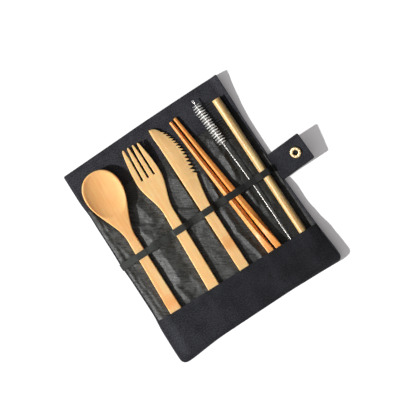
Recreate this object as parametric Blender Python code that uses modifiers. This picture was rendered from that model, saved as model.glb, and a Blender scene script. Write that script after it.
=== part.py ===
"""Travel cutlery in a cloth wrap that lies open: bamboo spoon, fork, knife, chopsticks and straw, and a straw brush.

Metres, +Z up. X runs across the wrap towards its closing tab, and Y runs along the cutlery towards its tips.
The origin is the middle of the wrap's underside, which lies flat on a table.
Each utensil is shaped in its own frame, with its handle's end at the origin and its length along +Y, and is
then laid on the wrap. The cloth above it is draped from the same sizes, so it follows when a size changes.
"""

import bisect
import math

import bmesh
import bpy
from mathutils import Matrix, Vector

MM = 0.001

# Cloth layers, from the table up, and the air left between two faces that touch.
TOUCH = 0.3 * MM
SHELL_THICK = 0.8 * MM
FACING_THICK = 0.7 * MM
LINING_THICK = 0.5 * MM
POCKET_THICK = 0.8 * MM
ELASTIC_THICK = 0.9 * MM
TAB_THICK = 1.4 * MM

# The wrap's outline. It is a little wider at the pocket, whose corners are soft.
WRAP_WIDTH = 183.5 * MM
WRAP_LENGTH = 220 * MM
POCKET_FLARE = 2.8 * MM
FLARE_LENGTH = 42 * MM
TOP_BOW = 1.2 * MM
BOTTOM_BOW = 1.6 * MM
CORNER_RADIUS = 9 * MM
CORNER_CUT = 4 * MM
SEAM_MARGIN = 1 * MM

# Depth of the canvas facing at the top and of the pocket at the bottom, whose mouth is sewn slightly askew.
FACING_DEPTH = 41.5 * MM
POCKET_DEPTH = 44.5 * MM
MOUTH_SKEW = 2.2 * MM
POCKET_SAG = 0.5 * MM

# The right edge curls up off the table, most at its corners.
CURL_WIDTH = 8.5 * MM
CURL_STEPS = 7
CURL_HEIGHT = 2.4 * MM
CURL_CORNER_RISE = 5.6 * MM

# The elastic band, sewn to the lining between the utensils.
ELASTIC_WIDTH = 7.5 * MM
ELASTIC_Y = 2 * MM
ELASTIC_RUN = 0.8
DRAPE_CLEAR = 0.4 * MM

# The closing tab and its snap fastener.
TAB_WIDTH = 29.8 * MM
TAB_LENGTH = 35.2 * MM
TAB_ROOT = 5 * MM
TAB_Y = 1.5 * MM
TAB_TURN = math.radians(2.7)
TAB_SLOPE = math.radians(19)
TAB_ROLL = math.radians(9)
TAB_EASE = 8 * MM
SNAP_REACH = 22.4 * MM
SNAP_OFFSET = 0.6 * MM
SOCKET_RADIUS = 5.8 * MM
SOCKET_HEIGHT = 2 * MM
SOCKET_HOLE_RADIUS = 2.4 * MM
SOCKET_WALL = 0.5 * MM
CAP_RADIUS = 5.6 * MM
CAP_THICK = 0.7 * MM
EYELET_WALL = 0.5 * MM
STUD_X = -47 * MM
STUD_RADIUS = 2.1 * MM
STUD_HEIGHT = 1.9 * MM
STUD_BASE_RADIUS = 4.6 * MM
STUD_BASE_THICK = 0.5 * MM
STUD_PLATE_RADIUS = 5 * MM
STUD_PLATE_THICK = 0.5 * MM
BUMP_RUN = 6 * MM

# Utensils: where the handle's end lies, as X and the height above the wrap's lower edge, and its lean to the left.
SPOON_END = (-72.4 * MM, 7.9 * MM)
SPOON_LEAN = math.radians(-1.73)
FORK_END = (-29.1 * MM, 8.9 * MM)
FORK_LEAN = math.radians(-2.62)
KNIFE_END = (8.95 * MM, 11.8 * MM)
KNIFE_LEAN = math.radians(-0.6)
LEFT_STICK_END = (43.6 * MM, 7.6 * MM)
LEFT_STICK_LEAN = math.radians(4.55)
RIGHT_STICK_END = (53.05 * MM, 9 * MM)
RIGHT_STICK_LEAN = math.radians(5.68)
BRUSH_END = (64.75 * MM, 13 * MM)
BRUSH_LEAN = math.radians(1.78)
STRAW_END = (77.85 * MM, 7.2 * MM)

SPOON_LENGTH = 200 * MM
SPOON_THICK = 4.5 * MM
SPOON_END_WIDTH = 14.3 * MM
SPOON_NECK_WIDTH = 9.7 * MM
SPOON_NECK_AT = 124 * MM
BOWL_WIDTH = 40.4 * MM
BOWL_TIP_LENGTH = 23 * MM
BOWL_HEIGHT = 10 * MM
BOWL_DEPTH = 5.4 * MM
BOWL_EDGE = 1.8 * MM
BOWL_RIM = 1.3 * MM
BOWL_SQUARENESS = 2.2

FORK_LENGTH = 200 * MM
FORK_THICK = 4.5 * MM
FORK_END_WIDTH = 13.4 * MM
FORK_NECK_WIDTH = 10.8 * MM
FORK_NECK_AT = 125 * MM
FORK_HEAD_WIDTH = 27 * MM
FORK_HEAD_LENGTH = 37 * MM
FORK_TIP_WIDTH = 18.6 * MM
FORK_TINE_THICK = 2.4 * MM
FORK_TINE_RISE = 5 * MM
SLOT_WIDTH = 1.7 * MM
SLOT_MOUTH_WIDTH = 3.5 * MM
SLOT_LENGTH = 36.5 * MM
SLOT_FLARE_LENGTH = 11 * MM

KNIFE_LENGTH = 200 * MM
KNIFE_THICK = 4.2 * MM
KNIFE_END_WIDTH = 11.5 * MM
KNIFE_NECK_WIDTH = 10.6 * MM
KNIFE_NECK_AT = 98 * MM
KNIFE_HEEL_AT = 137 * MM
KNIFE_HEEL_OUT = 11.7 * MM
BLADE_BELLY_OUT = 13.7 * MM
BLADE_CURVE_LENGTH = 42.6 * MM
BLADE_SPINE_THICK = 3.2 * MM
BLADE_EDGE_THICK = 1.2 * MM
TOOTH_COUNT = 14
TOOTH_START = 142.2 * MM
TOOTH_PITCH = 3.43 * MM
TOOTH_DEPTH = 2.8 * MM

STICK_LENGTH = 200 * MM
STICK_WIDTH = 6.7 * MM
STICK_TIP_WIDTH = 3.4 * MM
STICK_TAPER_FROM = 85 * MM
STICK_SQUARE_LENGTH = 36 * MM

STRAW_LENGTH = 194 * MM
STRAW_WIDTH = 9.2 * MM
STRAW_LOWER_WIDTH = 8.4 * MM
STRAW_BORE = 6.4 * MM
STRAW_LIP = 0.4 * MM

BRUSH_LENGTH = 200 * MM
WIRE_WIDTH = 1.5 * MM
WIRE_KNOB_WIDTH = 2 * MM
WIRE_KNOB_LENGTH = 3.6 * MM
BRISTLE_WIDTH = 9.4 * MM
BRISTLE_FROM = 146 * MM
BRISTLE_LENGTH = 47 * MM
BRISTLE_PITCH = 2.6 * MM
BRISTLE_THICK = 0.5 * MM

# Places that follow from the sizes above.
TOP_Y = WRAP_LENGTH / 2
BOTTOM_Y = -WRAP_LENGTH / 2
FACING_Y = TOP_Y - FACING_DEPTH
MOUTH_Y = BOTTOM_Y + POCKET_DEPTH
RIGHT_X = WRAP_WIDTH / 2
INNER_Z = SHELL_THICK + TOUCH
REST_Z = INNER_Z + max(FACING_THICK, LINING_THICK) + TOUCH
RAISE_FROM_X = RIGHT_X - TAB_ROOT - 5 * MM
RAISE_FULL_X = RIGHT_X - TAB_ROOT - 2.5 * MM
RAISE_HALF = TAB_WIDTH / 2 + 1.5 * MM
RAISE_RUN = 5 * MM
BUMP_HEIGHT = STUD_HEIGHT + STUD_BASE_THICK
BUMP_TOP = max(STUD_BASE_RADIUS, STUD_PLATE_RADIUS) + 1 * MM
SNAP_Y = TAB_Y + SNAP_REACH * math.sin(TAB_TURN) + SNAP_OFFSET * math.cos(TAB_TURN)

CANVAS = ("canvas", (0.034, 0.036, 0.045), 0.9, 0.0)
NYLON = ("lining_nylon", (0.06, 0.063, 0.064), 0.4, 0.0)
WEBBING = ("elastic_webbing", (0.025, 0.028, 0.028), 0.75, 0.0)
BAMBOO = ("bamboo", (0.84, 0.54, 0.26), 0.5, 0.0)
DARK_BAMBOO = ("varnished_bamboo", (0.62, 0.22, 0.05), 0.22, 0.0)
STRAW_BAMBOO = ("straw_bamboo", (0.7, 0.48, 0.2), 0.35, 0.0)
STEEL = ("steel_wire", (0.75, 0.74, 0.72), 0.25, 1.0)
BRISTLE = ("white_bristle", (0.8, 0.8, 0.76), 0.4, 0.0)
BRASS = ("brass", (0.83, 0.62, 0.3), 0.25, 1.0)


def smooth(t):
    """An S-curve from 0 to 1, flat at both ends."""
    t = min(1.0, max(0.0, t))
    return t * t * (3 - 2 * t)


def mix(a, b, t):
    """The value a share t of the way from a to b."""
    return a + (b - a) * t


def spread(start, end, count):
    """This many evenly spaced values from start to end."""
    return [mix(start, end, i / (count - 1)) for i in range(count)]


def grid_lines(needed, filling, least):
    """The needed grid lines, and those of the filling that keep their distance from all the others, in order."""
    kept = sorted(set(needed))
    for line in filling:
        if min(abs(line - other) for other in kept) >= least:
            kept.append(line)
    return sorted(kept)


def on_facets(lines, position, height):
    """The height at a position on the straight facet between the two grid lines around it."""
    k = min(len(lines) - 1, max(1, bisect.bisect(lines, position)))
    near, far = lines[k - 1], lines[k]
    return mix(height(near), height(far), (position - near) / (far - near))


def clear_scene():
    """Removes what the scene starts with."""
    for thing in list(bpy.data.objects):
        bpy.data.objects.remove(thing, do_unlink=True)


def material_of(finish):
    """The Principled material for a named finish, made once."""
    name, colour, roughness, metallic = finish
    found = bpy.data.materials.get(name)
    if found:
        return found
    made = bpy.data.materials.new(name)
    made.use_nodes = True
    shader = made.node_tree.nodes["Principled BSDF"]
    shader.inputs["Base Color"].default_value = (*colour, 1)
    shader.inputs["Roughness"].default_value = roughness
    shader.inputs["Metallic"].default_value = metallic
    return made


def collection_of(name):
    """The collection of that name, made on first use."""
    found = bpy.data.collections.get(name)
    if not found:
        found = bpy.data.collections.new(name)
        bpy.context.scene.collection.children.link(found)
    return found


def add_object(name, shape, finish, group="cutlery_pack"):
    """An object from a finished bmesh, in its collection and with its material."""
    mesh = bpy.data.meshes.new(name)
    bmesh.ops.recalc_face_normals(shape, faces=shape.faces[:])
    shape.to_mesh(mesh)
    shape.free()
    mesh.shade_smooth()
    mesh.set_sharp_from_angle(angle=math.radians(35))
    made = bpy.data.objects.new(name, mesh)
    collection_of(group).objects.link(made)
    if finish:
        mesh.materials.append(material_of(finish))
    return made


def sheet(name, columns, rows, place, thick, finish):
    """A cloth panel: a grid whose point (i, j) goes to place(i, j), then made thick straight up."""
    shape = bmesh.new()
    bmesh.ops.create_grid(shape, x_segments=columns - 1, y_segments=rows - 1, size=1)
    for vertex in shape.verts:
        i = round((vertex.co.x + 1) / 2 * (columns - 1))
        j = round((vertex.co.y + 1) / 2 * (rows - 1))
        vertex.co = place(i, j)
    raised = bmesh.ops.extrude_face_region(shape, geom=shape.faces[:])["geom"]
    lifted = [part for part in raised if isinstance(part, bmesh.types.BMVert)]
    bmesh.ops.translate(shape, verts=lifted, vec=(0, 0, thick))
    return add_object(name, shape, finish)


def loft(name, sections, finish):
    """A solid through closed sections that all have as many points, with its two ends filled."""
    shape = bmesh.new()
    loops = [[shape.verts.new(point) for point in section] for section in sections]
    for near, far in zip(loops, loops[1:]):
        for k in range(len(near)):
            after = (k + 1) % len(near)
            shape.faces.new((near[k], near[after], far[after], far[k]))
    shape.faces.new(loops[0])
    shape.faces.new(loops[-1])
    return add_object(name, shape, finish)


def turned(name, profile, finish, steps=24):
    """A turned ring or disc: a closed or axis-to-axis profile of (radius, height), spun about Z by a Screw."""
    shape = bmesh.new()
    points = [shape.verts.new((radius, 0, height)) for radius, height in profile]
    closed = profile[0][0] > 0
    for near, far in zip(points, points[1:] + points[:1] if closed else points[1:]):
        shape.edges.new((near, far))
    mesh = bpy.data.meshes.new(name)
    shape.to_mesh(mesh)
    shape.free()
    made = bpy.data.objects.new(name, mesh)
    collection_of("cutlery_pack").objects.link(made)
    mesh.materials.append(material_of(finish))
    screw = made.modifiers.new("turn", "SCREW")
    screw.steps = steps
    screw.render_steps = steps
    screw.use_merge_vertices = True
    screw.merge_threshold = 0.00001
    screw.use_smooth_shade = True
    return made


def half_width_at(y):
    """Half the wrap's width at a height y: straight, then a little wider at the pocket."""
    return WRAP_WIDTH / 2 + POCKET_FLARE * smooth((MOUTH_Y - y) / FLARE_LENGTH + 0.15)


def curl_start():
    """Where the right edge starts to lift: just right of the straw."""
    return RIGHT_X - CURL_WIDTH


def base(x, y):
    """Height of the wrap's underside above the table: the curled right edge and the rise over the snap's stud."""
    corner = max(0.0, (abs(y - TAB_Y) - RAISE_HALF) / (WRAP_LENGTH / 2))
    height = CURL_HEIGHT + CURL_CORNER_RISE * corner**1.6
    width = half_width_at(y) - curl_start()
    curl = height * smooth((x - curl_start()) / width)
    return curl + BUMP_HEIGHT * stud_share(x, y)


def stud_share(x, y):
    """1 on top of the rise over the snap's stud and 0 from its foot on."""
    away_x = (abs(x - STUD_X) - BUMP_TOP) / BUMP_RUN
    away_y = (abs(y - SNAP_Y) - BUMP_TOP) / BUMP_RUN
    return (1 - smooth(away_x)) * (1 - smooth(away_y))


def bump_lines(middle):
    """Grid lines at the foot and at the top of the rise over the stud."""
    foot = BUMP_TOP + BUMP_RUN
    return [middle - foot, middle - BUMP_TOP, middle + BUMP_TOP, middle + foot]


def curl_lines():
    """Grid lines across the curled right edge."""
    return spread(curl_start(), RIGHT_X, CURL_STEPS)


def raise_rows():
    """Grid lines at the foot and at the top of the lining's rise over the tab's root."""
    foot = RAISE_HALF + RAISE_RUN
    return [TAB_Y - foot, TAB_Y - RAISE_HALF, TAB_Y + RAISE_HALF, TAB_Y + foot]


def inner_raise(x, y):
    """How far the lining is raised where the tab's root is sewn in, and over the stud's plate."""
    across = smooth((x - RAISE_FROM_X) / (RAISE_FULL_X - RAISE_FROM_X))
    sideways = abs(y - TAB_Y) - RAISE_HALF
    root = (TAB_THICK + TOUCH) * across * (1 - smooth(sideways / RAISE_RUN))
    return root + (STUD_PLATE_THICK + TOUCH) * stud_share(x, y)


class Utensil:
    """A utensil as the cloth sees it: where it lies, how wide it is and how high it stands, along its length."""

    def __init__(self, end, lean, length, half_width, top):
        self.end = (end[0], BOTTOM_Y + end[1])
        self.lean = lean
        self.length = length
        self.half_width = half_width
        self.top = top

    def span(self, y):
        """(left, right, height above the rest plane) at y."""
        s = (y - self.end[1]) / math.cos(self.lean)
        s = min(self.length, max(0.0, s))
        middle = self.end[0] - math.tan(self.lean) * (y - self.end[1])
        half = self.half_width(s) / math.cos(self.lean)
        return middle - half, middle + half, self.top(s)

    def put(self, made, pitch=0.0):
        """Lays a finished object where the utensil lies."""
        made.location = (self.end[0], self.end[1], REST_Z)
        made.rotation_euler = (pitch, 0, self.lean)
        return made


def spoon_half_width(s):
    """Handle that narrows to the neck, shoulders, and an egg-shaped bowl."""
    widest = SPOON_LENGTH - BOWL_TIP_LENGTH
    if s > widest:
        share = min(1.0, (s - widest) / BOWL_TIP_LENGTH)
        return BOWL_WIDTH / 2 * (1 - share**BOWL_SQUARENESS) ** (1 / BOWL_SQUARENESS)
    handle = mix(SPOON_END_WIDTH, SPOON_NECK_WIDTH, min(1.0, s / SPOON_NECK_AT)) / 2
    return mix(handle, BOWL_WIDTH / 2, smooth((s - SPOON_NECK_AT) / (widest - SPOON_NECK_AT)))


def spoon_rim(s):
    """Height of the spoon's top edge: the handle's face, rising to the bowl's rim."""
    return mix(SPOON_THICK, BOWL_HEIGHT, smooth((s - SPOON_NECK_AT + 17 * MM) / (50 * MM)))


def dish(s, x, half_length, half_width):
    """1 at the middle of the bowl and 0 at the edge of an oval, and outside it."""
    middle = SPOON_LENGTH - half_length - BOWL_RIM
    power = BOWL_SQUARENESS
    out = (abs(s - middle) / half_length) ** power + (abs(x) / half_width) ** power
    return max(0.0, 1 - out) ** 0.75


def make_spoon(spoon):
    """One piece of bamboo: a flat handle that runs into a hollowed bowl."""
    hollow_length = BOWL_TIP_LENGTH + 1 * MM
    steps = [0, 0.6 * MM, 60 * MM, 100 * MM]
    steps += spread(SPOON_NECK_AT - 14 * MM, SPOON_LENGTH - BOWL_TIP_LENGTH, 10)
    steps += [SPOON_LENGTH - BOWL_TIP_LENGTH * share for share in (0.75, 0.5, 0.3, 0.16, 0.07, 0.015)]
    across = [-1, -0.9, -0.76, -0.6, -0.42, -0.22, 0, 0.22, 0.42, 0.6, 0.76, 0.9, 1]
    ease = 0.5 * MM
    sections = []
    for s in steps:
        half = spoon_half_width(s)
        if s == 0:
            half -= ease
        edge = mix(SPOON_THICK, BOWL_EDGE, smooth((s - SPOON_NECK_AT + 10 * MM) / (40 * MM)))
        rim = spoon_rim(s)
        upper, lower = [], []
        for share in across:
            x = half * share
            soften = ease * 0.6 if abs(share) == 1 else 0.0
            hollow = BOWL_DEPTH * dish(s, x, hollow_length, BOWL_WIDTH / 2 - BOWL_RIM)
            under = (BOWL_HEIGHT - edge) * dish(s, x, hollow_length + 3.5 * MM, BOWL_WIDTH / 2 + 0.5 * MM)
            upper.append(Vector((x, s, rim - hollow - soften)))
            lower.append(Vector((x, s, max(0.0, rim - edge - under) + soften)))
        sections.append(upper + lower[::-1])
    return spoon.put(loft("spoon", sections, BAMBOO))


def fork_half_width(s):
    """Handle, shoulders and a head that narrows towards the tips."""
    widest = FORK_LENGTH - FORK_HEAD_LENGTH
    if s > widest:
        share = (s - widest) / FORK_HEAD_LENGTH
        return mix(FORK_HEAD_WIDTH, FORK_TIP_WIDTH, share * share) / 2
    handle = mix(FORK_END_WIDTH, FORK_NECK_WIDTH, min(1.0, s / FORK_NECK_AT)) / 2
    return mix(handle, FORK_HEAD_WIDTH / 2, smooth((s - FORK_NECK_AT) / (widest - FORK_NECK_AT)))


def fork_rise(s):
    """How far the fork's underside has risen from the cloth: the head sweeps up to the tips."""
    from_s = FORK_NECK_AT + 5 * MM
    return FORK_TINE_RISE * max(0.0, (s - from_s) / (FORK_LENGTH - from_s)) ** 1.5


def slot_cutter(name, middle, lean):
    """A cutter for one slot between two tines: round at its root, and flared where the tips narrow."""
    root = FORK_LENGTH - SLOT_LENGTH
    flare = FORK_LENGTH - SLOT_FLARE_LENGTH
    radius = SLOT_WIDTH / 2
    right = [(radius * math.cos(a), root + radius + radius * math.sin(a)) for a in spread(-math.pi / 2, 0, 4)]
    right += [(radius, flare), (SLOT_MOUTH_WIDTH / 2, FORK_LENGTH), (SLOT_MOUTH_WIDTH, FORK_LENGTH + 5 * MM)]
    outline = right + [(-x, y) for x, y in reversed(right[1:])]
    shape = bmesh.new()
    bottom = [shape.verts.new((x + middle + lean * (y - root), y, -5 * MM)) for x, y in outline]
    face = shape.faces.new(bottom)
    raised = bmesh.ops.extrude_face_region(shape, geom=[face])["geom"]
    lifted = [part for part in raised if isinstance(part, bmesh.types.BMVert)]
    bmesh.ops.translate(shape, verts=lifted, vec=(0, 0, 30 * MM))
    cutter = add_object(name, shape, None, "cutters")
    cutter.hide_render = True
    cutter.display_type = "WIRE"
    return cutter


def make_fork(fork):
    """One piece of bamboo with four tines."""
    head = FORK_LENGTH - FORK_HEAD_LENGTH
    steps = [0, 0.6 * MM, 90 * MM] + spread(FORK_NECK_AT - 10 * MM, head, 7)
    steps += [head + FORK_HEAD_LENGTH * share for share in (0.2, 0.4, 0.6, 0.8, 0.93, 1)]
    across = [-1, -0.93, 0, 0.93, 1]
    ease = 0.5 * MM
    sections = []
    for s in steps:
        half = fork_half_width(s) - (ease if s in (0, FORK_LENGTH) else 0)
        thick = mix(FORK_THICK, FORK_TINE_THICK, smooth((s - FORK_NECK_AT + 10 * MM) / (50 * MM)))
        low = fork_rise(s)
        upper, lower = [], []
        for share in across:
            soften = ease * 0.6 if abs(share) == 1 else 0.0
            upper.append(Vector((half * share, s, low + thick - soften)))
            lower.append(Vector((half * share, s, low + soften)))
        sections.append(upper + lower[::-1])
    made = loft("fork", sections, BAMBOO)
    pitch_root = FORK_HEAD_WIDTH / 4
    pitch_tip = (FORK_TIP_WIDTH + SLOT_MOUTH_WIDTH * 1.05) / 4
    for k in (-1, 0, 1):
        lean = k * (pitch_tip - pitch_root) / SLOT_LENGTH
        cutter = slot_cutter(f"slot_cutter_{k + 2}", k * pitch_root, lean)
        cut = made.modifiers.new(f"slot_{k + 2}", "BOOLEAN")
        cut.operation = "DIFFERENCE"
        cut.object = cutter
        cutter.parent = made
    return fork.put(made)


def knife_handle_half(s):
    """Half the width of the knife's handle, carried on as the spine's line."""
    return mix(KNIFE_END_WIDTH, KNIFE_NECK_WIDTH, min(1.0, s / KNIFE_NECK_AT)) / 2


def blade_out(s):
    """How far the blade's edge stands out from the centreline: an ellipse that ends at the tip."""
    share = (s - (KNIFE_LENGTH - BLADE_CURVE_LENGTH)) / BLADE_CURVE_LENGTH
    spine = -KNIFE_NECK_WIDTH / 2
    return spine + (BLADE_BELLY_OUT - spine) * math.sqrt(max(0.0, 1 - min(1.0, share * share)))


def knife_edge():
    """(distance along, distance out) points of the toothed side, from the handle's end to the tip."""
    points = [(0, knife_handle_half(0) - 0.5 * MM), (0.6 * MM, knife_handle_half(0.6 * MM))]
    points += [(s, knife_handle_half(s)) for s in (60 * MM, KNIFE_NECK_AT)]
    reach = KNIFE_HEEL_AT - KNIFE_NECK_AT
    for share in (0.25, 0.5, 0.75, 0.9, 1.0):
        out = mix(knife_handle_half(KNIFE_NECK_AT), KNIFE_HEEL_OUT, share**1.6)
        points.append((KNIFE_NECK_AT + reach * share, out))
    points.append((KNIFE_HEEL_AT + 1.6 * MM, KNIFE_HEEL_OUT - 0.5 * MM))
    for k in range(TOOTH_COUNT + 1):
        s = TOOTH_START + TOOTH_PITCH * k
        points.append((s, blade_out(s) - TOOTH_DEPTH))
        points.append((s + 0.15 * MM, blade_out(s)))
    last = points[-1][0]
    for share in (0.3, 0.6, 0.8, 0.92, 0.98):
        s = mix(last, KNIFE_LENGTH, share)
        points.append((s, blade_out(s)))
    return points


def make_knife(knife):
    """One piece of bamboo: a flat handle and a toothed blade that is thin at its edge."""
    sections = []
    for s, out in knife_edge():
        blade = smooth((s - KNIFE_NECK_AT) / (KNIFE_HEEL_AT - KNIFE_NECK_AT))
        tip = smooth((s - (KNIFE_LENGTH - BLADE_CURVE_LENGTH * 0.5)) / (BLADE_CURVE_LENGTH * 0.5))
        back = -knife_handle_half(s) - 0.8 * MM * tip * (1 - tip * tip)
        if s == 0:
            back += 0.5 * MM
        spine_half = mix(KNIFE_THICK, BLADE_SPINE_THICK, blade) / 2
        edge_half = mix(KNIFE_THICK, BLADE_EDGE_THICK, blade) / 2
        middle = mix(back, out, 0.45)
        upper, lower = [], []
        for x, half in (
            (back, spine_half - 0.3 * MM),
            (mix(back, out, 0.07), spine_half),
            (middle, mix(spine_half, edge_half, 0.25)),
            (mix(back, out, 0.93), mix(spine_half, edge_half, 0.9)),
            (out, edge_half - 0.2 * MM),
        ):
            upper.append(Vector((x, s, KNIFE_THICK / 2 + half)))
            lower.append(Vector((x, s, KNIFE_THICK / 2 - half)))
        sections.append(upper + lower[::-1])
    return knife.put(loft("knife", sections, BAMBOO))


def stick_half_width(s):
    """Half the thickness of a chopstick: even, then tapering to the tip."""
    taper = max(0.0, (s - STICK_TAPER_FROM) / (STICK_LENGTH - STICK_TAPER_FROM))
    return mix(STICK_WIDTH, STICK_TIP_WIDTH, taper**1.15) / 2


def make_stick(name, stick):
    """A chopstick, square at its thick end and round from there on."""
    sides = 16
    ends = (0.8 * MM, STICK_LENGTH - 0.6 * MM)
    steps = [0, ends[0]] + spread(14 * MM, STICK_SQUARE_LENGTH * 1.6, 4)
    steps += [STICK_TAPER_FROM] + spread(STICK_TAPER_FROM + 40 * MM, ends[1], 3) + [STICK_LENGTH]
    sections = []
    for s in steps:
        radius = stick_half_width(s)
        eased = radius * (0.86 if s in (0, STICK_LENGTH) else 1)
        power = mix(7, 2, smooth((s - 8 * MM) / (STICK_SQUARE_LENGTH * 1.4)))
        section = []
        for k in range(sides):
            a = 2 * math.pi * (k + 0.5) / sides
            c, n = math.cos(a), math.sin(a)
            reach = eased / (abs(c) ** power + abs(n) ** power) ** (1 / power)
            section.append(Vector((reach * c, s, radius + reach * n)))
        sections.append(section)
    return stick.put(loft(name, sections, DARK_BAMBOO))


def straw_half_width(s):
    """Half the straw's outer width, which grows a little towards its upper end."""
    return mix(STRAW_LOWER_WIDTH, STRAW_WIDTH, s / STRAW_LENGTH) / 2


def make_straw(straw):
    """A bamboo tube with eased lips, turned about its own axis and then laid down."""
    low, high, bore = straw_half_width(0), straw_half_width(STRAW_LENGTH), STRAW_BORE / 2
    profile = [
        (high - STRAW_LIP, STRAW_LENGTH),
        (high, STRAW_LENGTH - STRAW_LIP),
        (low, STRAW_LIP),
        (low - STRAW_LIP, 0),
        (bore, 0),
        (bore, STRAW_LENGTH),
    ]
    made = turned("straw", profile, STRAW_BAMBOO)
    settle = math.asin((high - low) / STRAW_LENGTH)
    made.location = (straw.end[0], straw.end[1], REST_Z + low)
    made.rotation_euler = (settle - math.pi / 2, 0, straw.lean)
    return made


def brush_pitch():
    """How steeply the brush lies: its stem end down on the cloth, its bristles resting on it."""
    return math.atan((BRISTLE_WIDTH - WIRE_WIDTH) / 2 / BRISTLE_FROM)


def brush_top(s):
    """Height of the wire's upper side above the rest plane."""
    return WIRE_WIDTH + s * math.tan(brush_pitch())


def make_wire(brush):
    """The brush's stem: a straight wire with a small rounded knob where it is folded back at the tip."""
    wire, knob = WIRE_WIDTH / 2, WIRE_KNOB_WIDTH / 2
    neck = BRUSH_LENGTH - WIRE_KNOB_LENGTH
    profile = [(0, BRUSH_LENGTH)]
    for a in spread(math.radians(70), 0, 4):
        profile.append((knob * math.cos(a), BRUSH_LENGTH - knob + knob * math.sin(a)))
    profile += [(knob, neck + 0.8 * MM), (wire, neck), (wire, 0.3 * MM), (wire * 0.7, 0), (0, 0)]
    made = turned("brush_wire", profile, STEEL, steps=12)
    made.location = (brush.end[0], brush.end[1], REST_Z + wire)
    made.rotation_euler = (brush_pitch() - math.pi / 2, 0, brush.lean)
    return made


def make_bristles(brush):
    """The bristles, gripped between the wire's strands: a spiral of tufts, shorter at both ends."""
    per_turn = 8
    turns = BRISTLE_LENGTH / BRISTLE_PITCH
    count = round(turns * per_turn)
    root = WIRE_WIDTH / 2 + TOUCH
    sections = []
    for k in range(count + 1):
        turn = 2 * math.pi * k / per_turn
        along = k * BRISTLE_PITCH / per_turn
        ends = min(along, BRISTLE_LENGTH - along) / BRISTLE_LENGTH
        tuft = 1.0 if k % 2 else 0.86
        reach = BRISTLE_WIDTH / 2 * tuft * mix(0.8, 1, smooth(ends * 8))
        c, n = math.cos(turn), math.sin(turn)
        low, high = along, along + BRISTLE_THICK
        flat = 0.4 * BRISTLE_THICK
        sections.append(
            [
                Vector((root * c, root * n, low)),
                Vector((root * c, root * n, high)),
                Vector((reach * c, reach * n, high - flat)),
                Vector((reach * c, reach * n, low + flat)),
            ]
        )
    made = loft("brush_bristles", sections, BRISTLE)
    made.data.transform(Matrix.Translation((0, 0, BRISTLE_FROM)))
    made.location = (brush.end[0], brush.end[1], REST_Z + WIRE_WIDTH / 2)
    made.rotation_euler = (brush_pitch() - math.pi / 2, 0, brush.lean)
    return made


def lay_out():
    """The utensils by name, as the cloth sees them."""
    return {
        "spoon": Utensil(SPOON_END, SPOON_LEAN, SPOON_LENGTH, spoon_half_width, spoon_rim),
        "fork": Utensil(FORK_END, FORK_LEAN, FORK_LENGTH, fork_half_width, lambda s: FORK_THICK),
        "knife": Utensil(KNIFE_END, KNIFE_LEAN, KNIFE_LENGTH, knife_handle_half, lambda s: KNIFE_THICK),
        "left_stick": Utensil(
            LEFT_STICK_END, LEFT_STICK_LEAN, STICK_LENGTH, stick_half_width, lambda s: 2 * stick_half_width(s)
        ),
        "right_stick": Utensil(
            RIGHT_STICK_END, RIGHT_STICK_LEAN, STICK_LENGTH, stick_half_width, lambda s: 2 * stick_half_width(s)
        ),
        "brush": Utensil(BRUSH_END, BRUSH_LEAN, BRUSH_LENGTH, lambda s: WIRE_WIDTH / 2, brush_top),
        "straw": Utensil(STRAW_END, 0.0, STRAW_LENGTH, straw_half_width, lambda s: 2 * straw_half_width(s)),
    }


def outline_point(x, y, inset):
    """Moves a point of the plain rectangle onto the wrap's outline: bowed top, flared pocket, soft corners."""
    side = half_width_at(y) - inset
    fixed = RIGHT_X - CORNER_RADIUS
    if abs(x) > fixed:
        share = (abs(x) - fixed) / (RIGHT_X - fixed)
        x = math.copysign(mix(fixed, side, share), x)
    if y > FACING_Y:
        bow = TOP_BOW * (1 - (x / side) ** 2)
        y += bow * (y - FACING_Y) / FACING_DEPTH
    low = BOTTOM_Y + inset
    soft_zone = low + CORNER_RADIUS
    if y < soft_zone:
        near_corner = max(0.0, (abs(x) - (side - CORNER_RADIUS)) / CORNER_RADIUS)
        floor = low + CORNER_CUT * near_corner**2
        y = mix(floor, soft_zone, (max(low, y) - low) / CORNER_RADIUS)
    pocket = max(0.0, (MOUTH_Y - y) / POCKET_DEPTH)
    return x, y + BOTTOM_BOW * (0.6 - (x / RIGHT_X) ** 2) * pocket


def panel_columns(filling, least):
    """Across the wrap: the lines that every layer shares, so that the layers stay parallel, and a filling."""
    shared = [-RIGHT_X, -RIGHT_X + CORNER_RADIUS, RAISE_FROM_X]
    shared += bump_lines(STUD_X) + curl_lines()
    return grid_lines(shared, filling, least)


def shell_rows():
    """Up the wrap: the lines of the pocket's flare, the stud's rise and the curl's growth to the corners."""
    needed = [BOTTOM_Y, BOTTOM_Y + 3 * MM, BOTTOM_Y + CORNER_RADIUS, MOUTH_Y, FACING_Y, TOP_Y]
    needed += bump_lines(SNAP_Y)
    filling = [BOTTOM_Y + 27 * MM, MOUTH_Y / 2 - 6 * MM, FACING_Y / 2, TOP_Y - 20 * MM]
    return grid_lines(needed + [raise_rows()[1], raise_rows()[2]], filling, 2 * MM)


def make_shell():
    """The outer canvas, whose underside lies on the table."""
    columns, rows = panel_columns(spread(-15 * MM, 45 * MM, 2), 6 * MM), shell_rows()

    def place(i, j):
        x, y = outline_point(columns[i], rows[j], 0)
        return Vector((x, y, base(x, y)))

    return sheet("outer_shell", len(columns), len(rows), place, SHELL_THICK, CANVAS)


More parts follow.
